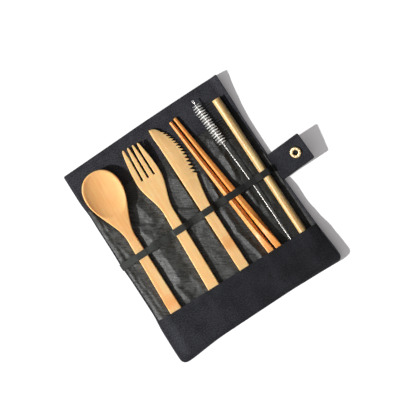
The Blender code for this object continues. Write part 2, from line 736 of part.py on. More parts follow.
def make_facing():
    """The canvas band turned to the inside along the top, under the utensils' tips."""
    columns = panel_columns(spread(-15 * MM, 45 * MM, 2), 6 * MM)
    rows = spread(FACING_Y + TOUCH / 2, TOP_Y - SEAM_MARGIN, 3)

    def place(i, j):
        x, y = outline_point(columns[i], rows[j], SEAM_MARGIN)
        return Vector((x, y, base(x, y) + INNER_Z))

    return sheet("top_facing", len(columns), len(rows), place, FACING_THICK, CANVAS)


# Creases of the loose lining: one slants across each gap between utensils, in each of three stretches.
PUCKER_MARGIN = 5 * MM
PUCKER_RISE = 1.7 * MM
PUCKER_WIDTH = 4.5 * MM
PUCKER_SHARES = (0.42, 0.58)
PUCKER_STRETCHES = ((-58 * MM, -10 * MM), (12 * MM, 32 * MM), (38 * MM, 62 * MM))


def pucker_lines(utensils):
    """The two ends of every crease, each at its share of the way across its gap."""
    ordered = list(utensils.values())
    lines = []
    for near, far in zip(ordered, ordered[1:]):
        for stretch in PUCKER_STRETCHES:
            ends = []
            for y, share in zip(stretch, PUCKER_SHARES):
                ends.append(Vector((mix(near.span(y)[1], far.span(y)[0], share), y)))
            lines.append(ends)
    return lines


def off_utensils(utensils, x, y):
    """0 under and beside a utensil, rising to 1 away from it."""
    nearest = PUCKER_MARGIN
    for utensil in utensils.values():
        left, right, _ = utensil.span(y)
        nearest = min(nearest, max(left - x, x - right) - PUCKER_MARGIN)
    return smooth(nearest / PUCKER_MARGIN)


def off_seams(x, y):
    """0 at the elastic, the facing's seam, the side seams and in the pocket, rising to 1 in the free lining."""
    margin = 4 * MM
    band = abs(y - ELASTIC_Y) - ELASTIC_WIDTH / 2
    free = min(band - margin, FACING_Y - y - margin, y - MOUTH_Y - MOUTH_SKEW, curl_start() - x)
    return smooth(free / (6 * MM)) * smooth((x + RIGHT_X - 2 * MM) / (2 * MM))


def pucker(utensils, lines, x, y):
    """Height of the lining's creases, which lie flat under the utensils and along the seams."""
    point = Vector((x, y))
    height = 0.0
    for start, end in lines:
        run = end - start
        share = min(1.0, max(0.0, (point - start).dot(run) / run.length_squared))
        away = (point - start - run * share).length / PUCKER_WIDTH
        swell = mix(0.4, 1.0, math.sin(math.pi * share))
        height = max(height, PUCKER_RISE * swell * math.exp(-away * away))
    return height * off_utensils(utensils, x, y) * off_seams(x, y)


def lining_columns():
    """Across the lining: the shared lines, the rise over the tab's root, and a filling for the creases."""
    filling = spread(-RIGHT_X + 4 * MM, RAISE_FROM_X - 3 * MM, 23)
    return sorted(panel_columns(filling, 3.5 * MM) + [RAISE_FULL_X])


def make_lining(utensils):
    """The thin lining from the facing down to the pocket's bottom seam, creased where nothing holds it flat."""
    columns = lining_columns()
    needed = [BOTTOM_Y + SEAM_MARGIN, BOTTOM_Y + 20 * MM, MOUTH_Y, FACING_Y - TOUCH / 2]
    needed += bump_lines(SNAP_Y) + raise_rows()
    rows = grid_lines(needed, spread(MOUTH_Y + 5 * MM, FACING_Y - 5 * MM, 15), 3.5 * MM)
    lines = pucker_lines(utensils)

    def place(i, j):
        x, y = outline_point(columns[i], rows[j], 1.5 * SEAM_MARGIN)
        height = base(x, y) + INNER_Z + inner_raise(x, y)
        return Vector((x, y, height + pucker(utensils, lines, x, y)))

    return sheet("lining", len(columns), len(rows), place, LINING_THICK, NYLON)


# The utensils that one stretch of cloth passes over together, from left to right.
DRAPE_GROUPS = [["spoon"], ["fork"], ["knife"], ["left_stick", "right_stick"], ["straw"]]


def group_span(utensils, group, y):
    """(left, right, height) over a group of utensils at y, with the cloth's own clearance."""
    spans = [utensils[name].span(y) for name in group]
    left = min(span[0] for span in spans) - DRAPE_CLEAR
    right = max(span[1] for span in spans) + DRAPE_CLEAR
    return left, right, max(span[2] for span in spans)


def pocket_full_y(utensils, group):
    """Where the pocket is at its full height over a group: just past the lowest handle's end."""
    return min(utensils[name].end[1] for name in group) - 1 * MM


def pocket_height(utensils, group, y):
    """How high the pocket stands over a group at y: full over the handles, closing down to the bottom seam."""
    height = group_span(utensils, group, y)[2] + REST_Z - INNER_Z + TOUCH
    seam = BOTTOM_Y + SEAM_MARGIN
    full = min(1.0, (y - seam + 0.9 * MM) / (pocket_full_y(utensils, group) - seam))
    return height * math.sin(math.pi / 2 * full) if y > seam else 0.0


def make_pocket(utensils):
    """The canvas pocket over the handles' ends: taut over each handle and sagging a little between them."""
    seam = BOTTOM_Y + SEAM_MARGIN
    ends = {pocket_full_y(utensils, group) for group in DRAPE_GROUPS}
    rows = grid_lines({seam, MOUTH_Y, max(ends), min(ends)}, ends, 0.9 * MM)
    rows = grid_lines(rows, spread(seam, min(ends), 4) + spread(max(ends) + 7 * MM, MOUTH_Y, 4), 1.5 * MM)

    def stations(y):
        """(x, height) from the left seam to the right one."""
        knots = [(-RIGHT_X, 0.0)]
        for group in DRAPE_GROUPS:
            left, right, _ = group_span(utensils, group, y)
            height = pocket_height(utensils, group, y)
            knots += [(left, height), (right, height)]
        knots.append((RIGHT_X, 0.0))
        found = []
        for k, (near, far) in enumerate(zip(knots, knots[1:])):
            found.append(near)
            if k % 2:
                continue
            shares = (0.12, 0.3, 0.5, 0.68, 0.85) if k == len(knots) - 2 else (0.3, 0.7)
            for share in shares:
                x = mix(near[0], far[0], share)
                if k in (0, len(knots) - 2):
                    height = mix(near[1], far[1], smooth(share))
                else:
                    sag = 4 * share * (1 - share) * POCKET_SAG
                    height = max(0.0, mix(near[1], far[1], share) - sag)
                found.append((x, height))
        found.append(knots[-1])
        return found

    def place(i, j):
        x, height = stations(rows[j])[i]
        x, y = outline_point(x, rows[j], SEAM_MARGIN)
        y -= MOUTH_SKEW * x / RIGHT_X * smooth((rows[j] - BOTTOM_Y) / POCKET_DEPTH)
        return Vector((x, y, base(x, y) + INNER_Z + max(LINING_THICK + TOUCH, height)))

    return sheet("pocket", len(stations(MOUTH_Y)), len(rows), place, POCKET_THICK, CANVAS)


def elastic_height(humps, x):
    """Height of the elastic above the lining: full over each hump, falling to its foot beside it."""
    height = 0.0
    for left, right, top in humps:
        away = max(left - x, x - right, 0.0)
        height = max(height, top * (1 - smooth(away / (top * ELASTIC_RUN))))
    return height


def make_elastic(utensils):
    """The ribbed elastic: over every utensil, and down to the lining where it is stitched between them."""
    low, high = ELASTIC_Y - ELASTIC_WIDTH / 2, ELASTIC_Y + ELASTIC_WIDTH / 2
    humps = []
    for group in DRAPE_GROUPS + [["brush"]]:
        ends = [group_span(utensils, group, y) for y in (low, high)]
        top = max(end[2] for end in ends) + REST_Z - INNER_Z - LINING_THICK
        humps.append((min(end[0] for end in ends), max(end[1] for end in ends), top))
    right_end = RIGHT_X - 2.5 * MM
    folds = lining_columns()
    needed = [-RIGHT_X + 2 * MM, right_end, RAISE_FROM_X, RAISE_FULL_X] + bump_lines(STUD_X)
    needed += [x for x in curl_lines() if x < right_end]
    for left, right, _ in humps:
        needed += [left, right]
    filling = []
    for left, right, top in humps:
        for share in (1, 0.5, 0.25, 0.72):
            filling += [left - share * top * ELASTIC_RUN, right + share * top * ELASTIC_RUN]
    filling = [x for x in filling if x < right_end]
    columns = grid_lines(needed, filling, 0.5 * MM)
    rows = spread(low, high, 3)

    def place(i, j):
        x, y = columns[i], rows[j]
        lining = on_facets(folds, x, lambda line: base(line, y) + inner_raise(line, y))
        return Vector((x, y, INNER_Z + lining + LINING_THICK + TOUCH + elastic_height(humps, x)))

    return sheet("elastic_band", len(columns), len(rows), place, ELASTIC_THICK, WEBBING)


def tab_point(along, across):
    """A point of the tab's underside, by its distance beyond the wrap's edge and across its width.

    Past the edge the tab bends up to its slope, and one side of it rolls higher than the other.
    """
    x = RIGHT_X + along * math.cos(TAB_TURN) - across * math.sin(TAB_TURN)
    y = TAB_Y + along * math.sin(TAB_TURN) + across * math.cos(TAB_TURN)
    if along <= 0:
        return Vector((x, y, base(x, y) + INNER_Z))
    eased = TAB_EASE / 2 * min(1.0, along / TAB_EASE) ** 2 + max(0.0, along - TAB_EASE)
    roll = across * math.tan(TAB_ROLL) * smooth(along / TAB_EASE)
    return Vector((x, y, base(RIGHT_X, TAB_Y) + INNER_Z + eased * math.tan(TAB_SLOPE) + roll))


def snap_place():
    """Where the snap sits on the tab's underside, and its turn: flat on the sloping and rolled tab."""
    roll = math.atan(math.tan(TAB_ROLL) * math.cos(TAB_SLOPE))
    turn = Matrix.Rotation(TAB_TURN, 4, "Z") @ Matrix.Rotation(-TAB_SLOPE, 4, "Y")
    turn = turn @ Matrix.Rotation(roll, 4, "X")
    return Matrix.Translation(tab_point(SNAP_REACH, SNAP_OFFSET)) @ turn


def make_tab():
    """The canvas tab: its root is sewn between shell and lining, and its end stands up off the table."""
    along = spread(-TAB_ROOT, 0, 4) + spread(TAB_EASE / 3, TAB_EASE, 3)
    along += [mix(TAB_EASE, TAB_LENGTH, 0.6), TAB_LENGTH]
    across = spread(-TAB_WIDTH / 2, TAB_WIDTH / 2, 5)

    def place(i, j):
        return tab_point(along[i], across[j])

    made = sheet("closing_tab", len(along), len(across), place, TAB_THICK, CANVAS)
    bpy.ops.mesh.primitive_cylinder_add(vertices=24, radius=eyelet_radius() + TOUCH, depth=20 * MM)
    punch = bpy.context.active_object
    punch.name = "tab_punch"
    punch.matrix_world = snap_place()
    punch.hide_render = True
    punch.display_type = "WIRE"
    for group in list(punch.users_collection):
        group.objects.unlink(punch)
    collection_of("cutters").objects.link(punch)
    hole = made.modifiers.new("punch", "BOOLEAN")
    hole.operation = "DIFFERENCE"
    hole.object = punch
    return made


def eyelet_radius():
    """Outer radius of the snap cap's eyelet, which passes through the tab into the socket."""
    return SOCKET_HOLE_RADIUS - TOUCH


def tab_thickness_square():
    """The tab's thickness measured square to its slope and roll."""
    return TAB_THICK / math.hypot(1, math.tan(TAB_SLOPE), math.tan(TAB_ROLL))


def make_socket():
    """The snap's brass socket on the tab's upper face: a rolled ring with a hole in the middle."""
    top = SOCKET_HEIGHT
    profile = [
        (SOCKET_HOLE_RADIUS, 0),
        (SOCKET_HOLE_RADIUS, top * 0.85),
        (SOCKET_HOLE_RADIUS + 0.3 * MM, top),
        (mix(SOCKET_HOLE_RADIUS, SOCKET_RADIUS, 0.55), top),
        (SOCKET_RADIUS - SOCKET_WALL, top * 0.75),
        (SOCKET_RADIUS, top * 0.3),
        (SOCKET_RADIUS, 0),
    ]
    made = turned("snap_socket", profile, BRASS)
    made.matrix_world = snap_place() @ Matrix.Translation((0, 0, tab_thickness_square() + TOUCH))
    return made


def make_cap():
    """The snap's cap under the tab, with the eyelet that is clenched inside the socket."""
    outer = eyelet_radius()
    reach = tab_thickness_square() + TOUCH + SOCKET_HEIGHT * 0.6
    profile = [
        (0, -TOUCH),
        (outer - EYELET_WALL, -TOUCH),
        (outer - EYELET_WALL, reach),
        (outer, reach),
        (outer, -TOUCH),
        (CAP_RADIUS - 0.5 * MM, -TOUCH),
        (CAP_RADIUS, -TOUCH - CAP_THICK * 0.4),
        (CAP_RADIUS * 0.7, -TOUCH - CAP_THICK),
        (0, -TOUCH - CAP_THICK),
    ]
    made = turned("snap_cap", profile, BRASS, steps=20)
    made.matrix_world = snap_place()
    return made


def make_stud():
    """The snap's stud on the wrap's underside, where the closed tab reaches: a base with a waisted head."""
    shank = STUD_RADIUS * 0.8
    under = BUMP_HEIGHT - TOUCH
    profile = [
        (0, under),
        (STUD_BASE_RADIUS, under),
        (STUD_BASE_RADIUS, under - STUD_BASE_THICK * 0.6),
        (shank, under - STUD_BASE_THICK),
        (shank, under - STUD_BASE_THICK - 0.4 * STUD_HEIGHT),
        (STUD_RADIUS, under - STUD_BASE_THICK - 0.65 * STUD_HEIGHT),
        (STUD_RADIUS * 0.7, TOUCH),
        (0, TOUCH),
    ]
    made = turned("snap_stud", profile, BRASS, steps=16)
    made.location = (STUD_X, SNAP_Y, 0)
    return made


def make_stud_plate():
    """The stud's inner plate, between shell and lining, with the rivet that holds the stud through the shell."""
    seat = BUMP_HEIGHT + SHELL_THICK + TOUCH
    profile = [
        (0, seat + STUD_PLATE_THICK),
        (STUD_PLATE_RADIUS - 0.2 * MM, seat + STUD_PLATE_THICK),
        (STUD_PLATE_RADIUS, seat),
        (0, seat),
    ]
    made = turned("snap_stud_plate", profile, BRASS, steps=16)
    made.location = (STUD_X, SNAP_Y, 0)
    return made


def main():
    clear_scene()
    utensils = lay_out()
    make_shell()
    make_facing()
    make_lining(utensils)
    make_pocket(utensils)
    make_elastic(utensils)
    make_tab()
    make_socket()
    make_cap()
    make_stud()
    make_stud_plate()
    make_spoon(utensils["spoon"])
    make_fork(utensils["fork"])
    make_knife(utensils["knife"])
    make_stick("left_chopstick", utensils["left_stick"])
    make_stick("right_chopstick", utensils["right_stick"])
    make_wire(utensils["brush"])
    make_bristles(utensils["brush"])
    make_straw(utensils["straw"])


main()
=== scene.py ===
"""The look of a bamboo cutlery set in an open cloth wrap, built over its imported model.

X runs across the wrap to its tab, Y along the cutlery to its tips, and Z up. Shapes are worked out in millimetres,
as whole arrays over a grid of two parameters, and become meshes in metres. A utensil is shaped in its own frame,
from its handle's end along +Y, and is then laid in its place. Cloth is draped from the same sizes as the utensils.
"""

from math import asin, atan, cos, hypot, pi, radians, sin, tan, tau

import bmesh
import bpy
import numpy as np
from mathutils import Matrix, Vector


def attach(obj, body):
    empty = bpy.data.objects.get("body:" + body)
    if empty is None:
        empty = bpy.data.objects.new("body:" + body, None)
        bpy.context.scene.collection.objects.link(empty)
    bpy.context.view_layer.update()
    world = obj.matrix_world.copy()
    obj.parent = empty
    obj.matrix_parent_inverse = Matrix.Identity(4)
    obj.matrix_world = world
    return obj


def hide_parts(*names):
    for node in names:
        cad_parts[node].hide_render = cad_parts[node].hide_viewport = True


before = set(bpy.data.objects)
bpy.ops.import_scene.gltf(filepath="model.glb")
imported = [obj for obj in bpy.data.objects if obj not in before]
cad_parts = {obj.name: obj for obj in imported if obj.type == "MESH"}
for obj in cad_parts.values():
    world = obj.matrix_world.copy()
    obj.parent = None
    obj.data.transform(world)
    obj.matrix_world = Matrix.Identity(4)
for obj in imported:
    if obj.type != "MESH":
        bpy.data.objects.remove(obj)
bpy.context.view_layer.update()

MM = 0.001

# Heights of the cloth layers and of the plane on which the utensils rest.
SHELL = 0.8
INNER = 1.1
REST = 2.1

# Thickness of each cloth, and how high the lining's upper face and the elastic's foot are over INNER.
FACING_THICK = 0.8
LINING_THICK = 0.5
LINING_TOP = 0.55
POCKET_THICK = 0.85
BAND_THICK = 0.72
BAND_FOOT = 0.6
TAB_THICK = 1.3

# Half the wrap's nominal width and length, the facing's lower edge, where the right side starts to curl up, and the
# middles of the tab and of the hidden stud.
HALF_WIDE = 92.0
HALF_LONG = 110.0
FACING_Y = 69.0
CURL_FROM = 83.25
TAB_Y = 1.5
STUD = (-47.0, 3.15)

# The pocket's mouth before it is bowed, its bottom seam, and the radii of the outline's corners.
POCKET_FROM = -66.0
POCKET_SEAM = 109.4
BOTTOM_CORNER = 6.0
TOP_CORNER = 1.5

# The elastic band's middle and width.
BAND_Y = 2.3
BAND_WIDE = 7.1


# ---- Numbers on grids


def mix(a, b, t):
    """The value a share t of the way from a to b."""
    return a + (b - a) * t


def unit(t):
    """t kept between 0 and 1."""
    return np.clip(t, 0, 1)


def past(t, start):
    """How far t is past start, and 0 before it."""
    return np.maximum(0, t - start)


def smooth(t):
    """An S-curve from 0 to 1, flat at both ends."""
    t = unit(t)
    return t * t * (3 - 2 * t)


def ramp(t, start, run):
    """An S-curve from 0 at start to 1 a run further on."""
    return smooth((t - start) / run)


def dome(t):
    """A quarter circle: 0 at t = 0, rising steeply and level at 1 from t = 1 on."""
    t = 1 - unit(t)
    return np.sqrt(1 - t * t)


def fall(t):
    """How far a rounded edge lies below its top: 1 at t = 0, and 0 from t = 1 on."""
    return 1 - dome(t)


def squash(t):
    """How far a square's side is pressed in, by the place along the next side, to make a quarter disc of it."""
    return 1 - np.sqrt(1 - t * t / 2)


def noise(x, y, cell, seed):
    """Soft random heights from -1 to 1: a lattice of random numbers, blended between its points."""
    size = 97
    lattice = np.random.default_rng(seed).uniform(-1, 1, (size, size))
    u, v = x / cell + (5 * size + 0.3), y / cell + (5 * size + 0.7)
    i, j = np.floor(u).astype(int), np.floor(v).astype(int)
    s, t = smooth(u - i), smooth(v - j)
    near, far = (mix(lattice[i % size, k % size], lattice[(i + 1) % size, k % size], s) for k in (j, j + 1))
    return mix(near, far, t)


def graded(start, end, step):
    """Positions a step apart, closer together at both ends, where an edge is rounded."""
    rim = np.array([0, 0.12, 0.35, 0.7, 1.1, 1.6, 2.2, 3.0, 4.0])
    inset = 5.5
    middle = np.linspace(start + inset, end - inset, max(2, round((end - start - 2 * inset) / step)))
    return np.concatenate([start + rim, middle, end - rim[::-1]])


def join(*parts):
    """Coordinates joined into points, or corners into faces."""
    return np.stack(parts, -1)


def directions(vectors):
    """Each vector at length 1."""
    return vectors / np.linalg.norm(vectors, axis=-1, keepdims=True)


def softened_line(t, knots):
    """A line through (position, offset) knots, with its corners eased over 12 mm."""
    at, value = zip(*knots)
    return sum(np.interp(t + step, at, value) for step in (-6, -3, 0, 3, 6)) / 5


# ---- Meshes from grids


def finished(name, points, faces, finish, flat=None, crease=50, weld=True):
    """An object from points in millimetres: doubles merged, faces outwards, smooth but for its sharp edges.

    flat is each point's place on the flat blank in millimetres, and becomes the UV map.
    """
    mesh = bpy.data.meshes.new(name)
    mesh.from_pydata((points.reshape(-1, 3) * MM).tolist(), [], faces)
    if flat is not None:
        corner = np.empty(len(mesh.loops), np.int32)
        mesh.loops.foreach_get("vertex_index", corner)
        layer = mesh.uv_layers.new(name="flat")
        layer.data.foreach_set("uv", flat.reshape(-1, 2)[corner].astype(np.float32).ravel())
    if weld:
        shape = bmesh.new()
        shape.from_mesh(mesh)
        bmesh.ops.remove_doubles(shape, verts=shape.verts[:], dist=1e-6)
        bmesh.ops.dissolve_degenerate(shape, edges=shape.edges[:], dist=1e-7)
        bmesh.ops.recalc_face_normals(shape, faces=shape.faces[:])
        shape.to_mesh(mesh)
        shape.free()
    mesh.shade_smooth()
    mesh.set_sharp_from_angle(angle=radians(crease))
    mesh.materials.append(finish)
    made = bpy.data.objects.new(name, mesh)
    bpy.context.scene.collection.objects.link(made)
    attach(made, "root")
    return made


def slab(name, top, bottom, finish, keep=None, flat=None, crease=50):
    """A closed plate between two grids of points, with a wall round every edge.

    keep says which cells are there, so that a slot is a gap in the grid.
    """
    rows, cols, _ = top.shape
    keep = np.ones((rows - 1, cols - 1), bool) if keep is None else keep
    count = rows * cols
    k = np.arange(count).reshape(rows, cols)
    cell = join(k[:-1, :-1], k[:-1, 1:], k[1:, 1:], k[1:, :-1])
    there = np.pad(keep, 1)
    faces = [cell[keep], cell[keep][:, ::-1] + count]
    neighbours = there[:-2, 1:-1], there[1:-1, 2:], there[2:, 1:-1], there[1:-1, :-2]
    for a, neighbour in enumerate(neighbours):
        bare = keep & ~neighbour
        near, far = cell[..., a][bare], cell[..., (a + 1) % 4][bare]
        faces.append(join(far, near, near + count, far + count))
    used, faces = np.unique(np.concatenate(faces), return_inverse=True)
    points = np.concatenate([top.reshape(-1, 3), bottom.reshape(-1, 3)])[used]
    if flat is not None:
        flat = np.concatenate([flat.reshape(-1, 2)] * 2)[used]
    return finished(name, points, faces.reshape(-1, 4).tolist(), finish, flat, crease)


def ring_faces(rings, around, closed=False):
    """Quads between neighbouring rings of points, and from the last ring to the first where closed."""
    k = np.arange(rings * around).reshape(rings, around)
    near, far = (k, np.roll(k, -1, 0)) if closed else (k[:-1], k[1:])
    return join(near, np.roll(near, -1, 1), np.roll(far, -1, 1), far).reshape(-1, 4)


def skin(name, points, finish, flat=None, closed=False, crease=50):
    """A skin over rings of points (rings, round, 3), with its ends filled, or joined where it is closed."""
    rings, around, _ = points.shape
    faces = ring_faces(rings, around, closed).tolist()
    if not closed:
        faces += [[*range(around)][::-1], [*range((rings - 1) * around, rings * around)]]
    return finished(name, points, faces, finish, flat, crease)


def swarm(name, points, faces, finish):
    """Many like shapes as one mesh: points is (shapes, points of one, 3), and faces are those of one."""
    count, each, _ = points.shape
    faces = np.arange(count)[:, None, None] * each + faces
    return finished(name, points, faces.reshape(-1, faces.shape[-1]).tolist(), finish, crease=60, weld=False)


def turned(name, profile, place, finish, steps=96, closed=False, press=None, crease=40):
    """A turned solid: a profile of (radius, height) spun round its axis, then put in place.

    press lowers each point by a function of its radius and angle.
    """
    radius, height = np.array(profile, float).T
    angle = np.linspace(0, 2 * pi, steps, endpoint=False)
    radius, angle = np.meshgrid(radius, angle, indexing="ij")
    height = np.repeat(height[:, None], steps, 1)
    if press:
        height = height - press(radius, angle, height)
    points = join(radius * np.cos(angle), radius * np.sin(angle), height)
    return skin(name, place(points), finish, closed=closed, crease=crease)


def along_path(path, offsets):
    """Rings round a path: offsets (round, 2) are carried on axes square to it, which turn as little as they can."""
    ahead = directions(np.gradient(path, axis=0))
    side = np.empty_like(path)
    side[0] = np.cross(ahead[0], (0.0, 0.0, 1.0) if abs(ahead[0][2]) < 0.9 else (1.0, 0.0, 0.0))
    for i in range(1, len(path)):
        side[i] = side[i - 1] - ahead[i] * side[i - 1].dot(ahead[i])
    side = directions(side)
    up = np.cross(side, ahead)
    return path[:, None] + side[:, None] * offsets[:, :1] + up[:, None] * offsets[:, 1:]


def circle(radius, count):
    """Points round a circle, as (round, 2)."""
    angle = np.linspace(0, 2 * pi, count, endpoint=False)
    return join(np.cos(angle), np.sin(angle)) * radius


def spindles(centre, side, up, thick, around):
    """Points of many small spindles: rings of points about their centres (spindles, rings, 3), as thick as given."""
    ring = circle(1.0, around)
    offset = side[:, None, None] * ring[:, :1] + up[:, None, None] * ring[:, 1:]
    return (centre[:, :, None] + offset * thick[:, None, None]).reshape(len(centre), -1, 3)


def corner_cut(points, times):
    """A polyline with its corners cut off a few times, at a quarter of each stretch, which rounds it."""
    for _ in range(times):
        cuts = np.stack([mix(points[:-1], points[1:], share) for share in (0.25, 0.75)], 1)
        points = np.concatenate([points[:1], cuts.reshape(-1, points.shape[1]), points[-1:]])
    return points


# ---- Materials


def maths(operation):
    """A method that adds a Math node of this kind."""

    def method(self, *others):
        return self.finish.node("ShaderNodeMath", {"operation": operation}, [self, *others])[0]

    return method


class Value:
    """A socket of a material. The usual operators add Math nodes, so that a pattern is written as an expression."""

    def __init__(self, finish, socket):
        self.finish = finish
        self.socket = socket

    __add__ = __radd__ = maths("ADD")
    __sub__ = maths("SUBTRACT")
    __mul__ = __rmul__ = maths("MULTIPLY")
    __truediv__ = maths("DIVIDE")
    __abs__ = maths("ABSOLUTE")
    wave = maths("SINE")
    greater = maths("MAXIMUM")
    times_plus = maths("MULTIPLY_ADD")

    def __rsub__(self, other):
        return self.times_plus(-1.0, other)

    def over(self, low, high):
        """0 below low, 1 above high, and an S-curve between."""
        settings = {"interpolation_type": "SMOOTHSTEP"}
        return self.finish.node("ShaderNodeMapRange", settings, [self, low, high, 0.0, 1.0])[0]


class Finish:
    """A material in the making. node() adds any node: its settings first, then its sockets' values or links."""

    def __init__(self, owner, shader="Principled BSDF"):
        owner.use_nodes = True
        self.owner = owner
        self.tree = owner.node_tree
        self.shader = self.tree.nodes[shader]

    def fill(self, inputs, values):
        """Gives these sockets their values, or links them."""
        for key, value in values:
            if isinstance(value, Value):
                self.tree.links.new(value.socket, inputs[key])
            else:
                inputs[key].default_value = value

    def node(self, kind, settings=(), sockets=()):
        made = self.tree.nodes.new(kind)
        for key, value in dict(settings).items():
            setattr(made, key, value)
        self.fill(made.inputs, sockets.items() if isinstance(sockets, dict) else enumerate(sockets))
        return [Value(self, output) for output in made.outputs]

    def wears(self, **values):
        """Gives the shader's own sockets these values or patterns, and returns the material."""
        self.fill(self.shader.inputs, ((key.replace("_", " "), value) for key, value in values.items()))
        return self.owner

    def blank(self):
        """Across and along the flat blank, in millimetres."""
        where = self.node("ShaderNodeTexCoord")[2]
        return self.node("ShaderNodeSeparateXYZ", {}, [where])[:2]

    def plain(self, x, y, scale=(1, 1), at=(0, 0)):
        """A point of the flat blank, stretched and moved, for a pattern to read."""
        return self.node("ShaderNodeCombineXYZ", {}, [x * scale[0] + at[0], y * scale[1] + at[1], 0.0])[0]

    def cloud(self, point, size, detail=2.0, roughness=0.5):
        """Soft random values about 0.5, with features of that size."""
        sockets = {"Vector": point, "Scale": 1 / size, "Detail": detail, "Roughness": roughness}
        return self.node("ShaderNodeTexNoise", {}, sockets)[0]

    def solid_cloud(self, size, detail=2.0, roughness=0.5):
        """The same over the piece itself, with features of that size in metres."""
        return self.cloud(self.node("ShaderNodeTexCoord")[3], size, detail, roughness)

    def blend(self, share, a, b):
        """Colour a where the share is 0 and b where it is 1."""
        return self.node("ShaderNodeMix", {"data_type": "RGBA"}, {0: share, 6: a, 7: b})[2]

    def relief(self, height, depth):
        """The normal of a surface raised by height times depth in millimetres."""
        return self.node("ShaderNodeBump", {}, {"Height": height, "Distance": depth * MM, "Strength": 1.0})[0]


def rgb(*colour):
    return (*colour, 1.0)


def toned(colour, share):
    """A colour with its channels multiplied."""
    return rgb(*(channel * share for channel in colour[:3]))


def material(name, **plain):
    """A Principled material in the making, with these plain values."""
    f = Finish(bpy.data.materials.new(name))
    f.wears(**plain)
    return f


# The canvas's threads are 0.62 mm wide: the angle of their wave at each millimetre.
CANVAS_THREADS = pi / 0.62


def shade(level):
    """The canvas's black, which is a little blue, at this level."""
    return rgb(level, level * 1.02, level * 1.23)


def canvas(name, tone, right_tone):
    """Black cotton canvas: a plain weave of crossing threads, with soft wear, thicker threads and a little lint.

    tone is its depth at the blank's left side, and right_tone that of its right side; the change is painted shade.
    """
    f = material(name, Roughness=0.92, Specular_IOR_Level=0.2)
    x, y = f.blank()
    here = f.plain(x, y)
    weave = (x * CANVAS_THREADS).wave() * (y * CANVAS_THREADS).wave()
    slub = f.cloud(f.plain(x, y, (0.12, 2.2)), 1.0) + f.cloud(f.plain(x, y, (2.2, 0.12), (7, 3)), 1.0)
    patches = f.cloud(here, 20, 3.0, 0.6)
    grain = f.cloud(here, 1.3, 2.0, 0.6)
    share = (patches * 1.1 + grain * 2.4 + slub * 0.2 + weave * 0.1).over(1.35, 2.55)
    # Painted shade: the canvas darkens from its left tone to its right one, as the light falls off towards the right.
    away = x.over(-90.0, 60.0)
    dark, pale = (f.blend(away, shade(level * tone), shade(level * right_tone)) for level in (0.016, 0.056))
    specks = f.node("ShaderNodeTexVoronoi", {}, {"Vector": here, "Scale": 1 / 9.0, "Randomness": 1.0})
    lint = 1 - specks[0].over(0.018, 0.034)
    colour = f.blend(lint * 0.5, f.blend(share, dark, pale), rgb(0.2, 0.2, 0.19))
    return f.wears(Base_Color=colour, Normal=f.relief(weave * 0.3 + slub * 0.3 + grain * 0.6, 0.26))


def nylon(name):
    """Thin dark nylon with a soft sheen: fine creases all one way, small facets, a cloudy tone and painted shade."""
    f = material(name, Specular_IOR_Level=0.38)
    x, y = f.blank()
    here = f.plain(x, y)
    slant = x * 0.55 + y * 0.835
    bend = f.cloud(here, 9, 2.0) * 7
    hatch = f.cloud(f.plain(slant + bend * 0.3, x * 0.835 - y * 0.55, (0.7, 0.09)), 1.0, 3.0, 0.65)
    crinkle = abs(f.cloud(f.plain(x + bend, y - bend), 5.0, 2.0, 0.55) - 0.5)
    tone = f.cloud(here, 11, 4.0, 0.65)
    grain = f.cloud(here, 1.6, 2.0, 0.6)
    # Painted shade: the lining darkens up towards the facing's seam.
    share = (tone * 0.7 + hatch * 1.2 + grain * 0.5 - y.over(44.0, 58.0) * 0.35).over(0.93, 1.57)
    colour = f.blend(share, rgb(0.034, 0.035, 0.033), rgb(0.12, 0.123, 0.118))
    # Painted shade: the lining darkens towards the right as the light falls off, a little more from x 62 on, less past
    # x 80.
    darker = x.over(-40.0, 80.0) * 0.76 + x.over(62.0, 70.0) * 0.1 - x.over(80.0, 84.0) * 0.4
    colour = f.blend(darker, colour, rgb(0.012, 0.0125, 0.0115))
    rough = f.cloud(f.plain(x, y, at=(5, 9)), 3.2, 3.0, 0.6).over(0.25, 0.8) * 0.1 + 0.4
    rough = rough + x.over(84.0, 86.0) * 0.45
    return f.wears(
        Base_Color=colour, Roughness=rough, Normal=f.relief(hatch * 1.2 + crinkle * 0.9 + grain * 0.4, 0.58)
    )


def webbing(name):
    """Black elastic: pale lengthwise knitted ribs on dark rubber, painted shade in the grooves, crossed by stitches.
    """
    f = material(name, Roughness=0.85, Specular_IOR_Level=0.2)
    x, y = f.blank()
    rib = (y * tau).wave()
    knit = (x * (tau / 0.9)).wave()
    fuzz = f.cloud(f.plain(x, y), 0.9, 3.0, 0.7)
    # rib also darkens the grooves between the ribs: painted shade.
    share = (fuzz * 0.9 + rib * 0.2 + knit * 0.12).over(0.05, 0.85)
    colour = f.blend(share, rgb(0.014, 0.0145, 0.0135), rgb(0.095, 0.1, 0.092))
    # Painted shade: the elastic darkens towards the wrap's right side, as the light falls off.
    colour = f.blend(x.over(-40.0, 40.0) * 0.75, colour, rgb(0.008, 0.0085, 0.008))
    return f.wears(Base_Color=colour, Normal=f.relief(knit * 0.4 + fuzz + rib * 0.5, 0.14))


# Light goes a little way into bamboo, which softens the edge of its shaded side.
WOOD_GLOW = {"Subsurface_Weight": 0.4, "Subsurface_Radius": (1.0, 0.5, 0.25), "Subsurface_Scale": 0.003}


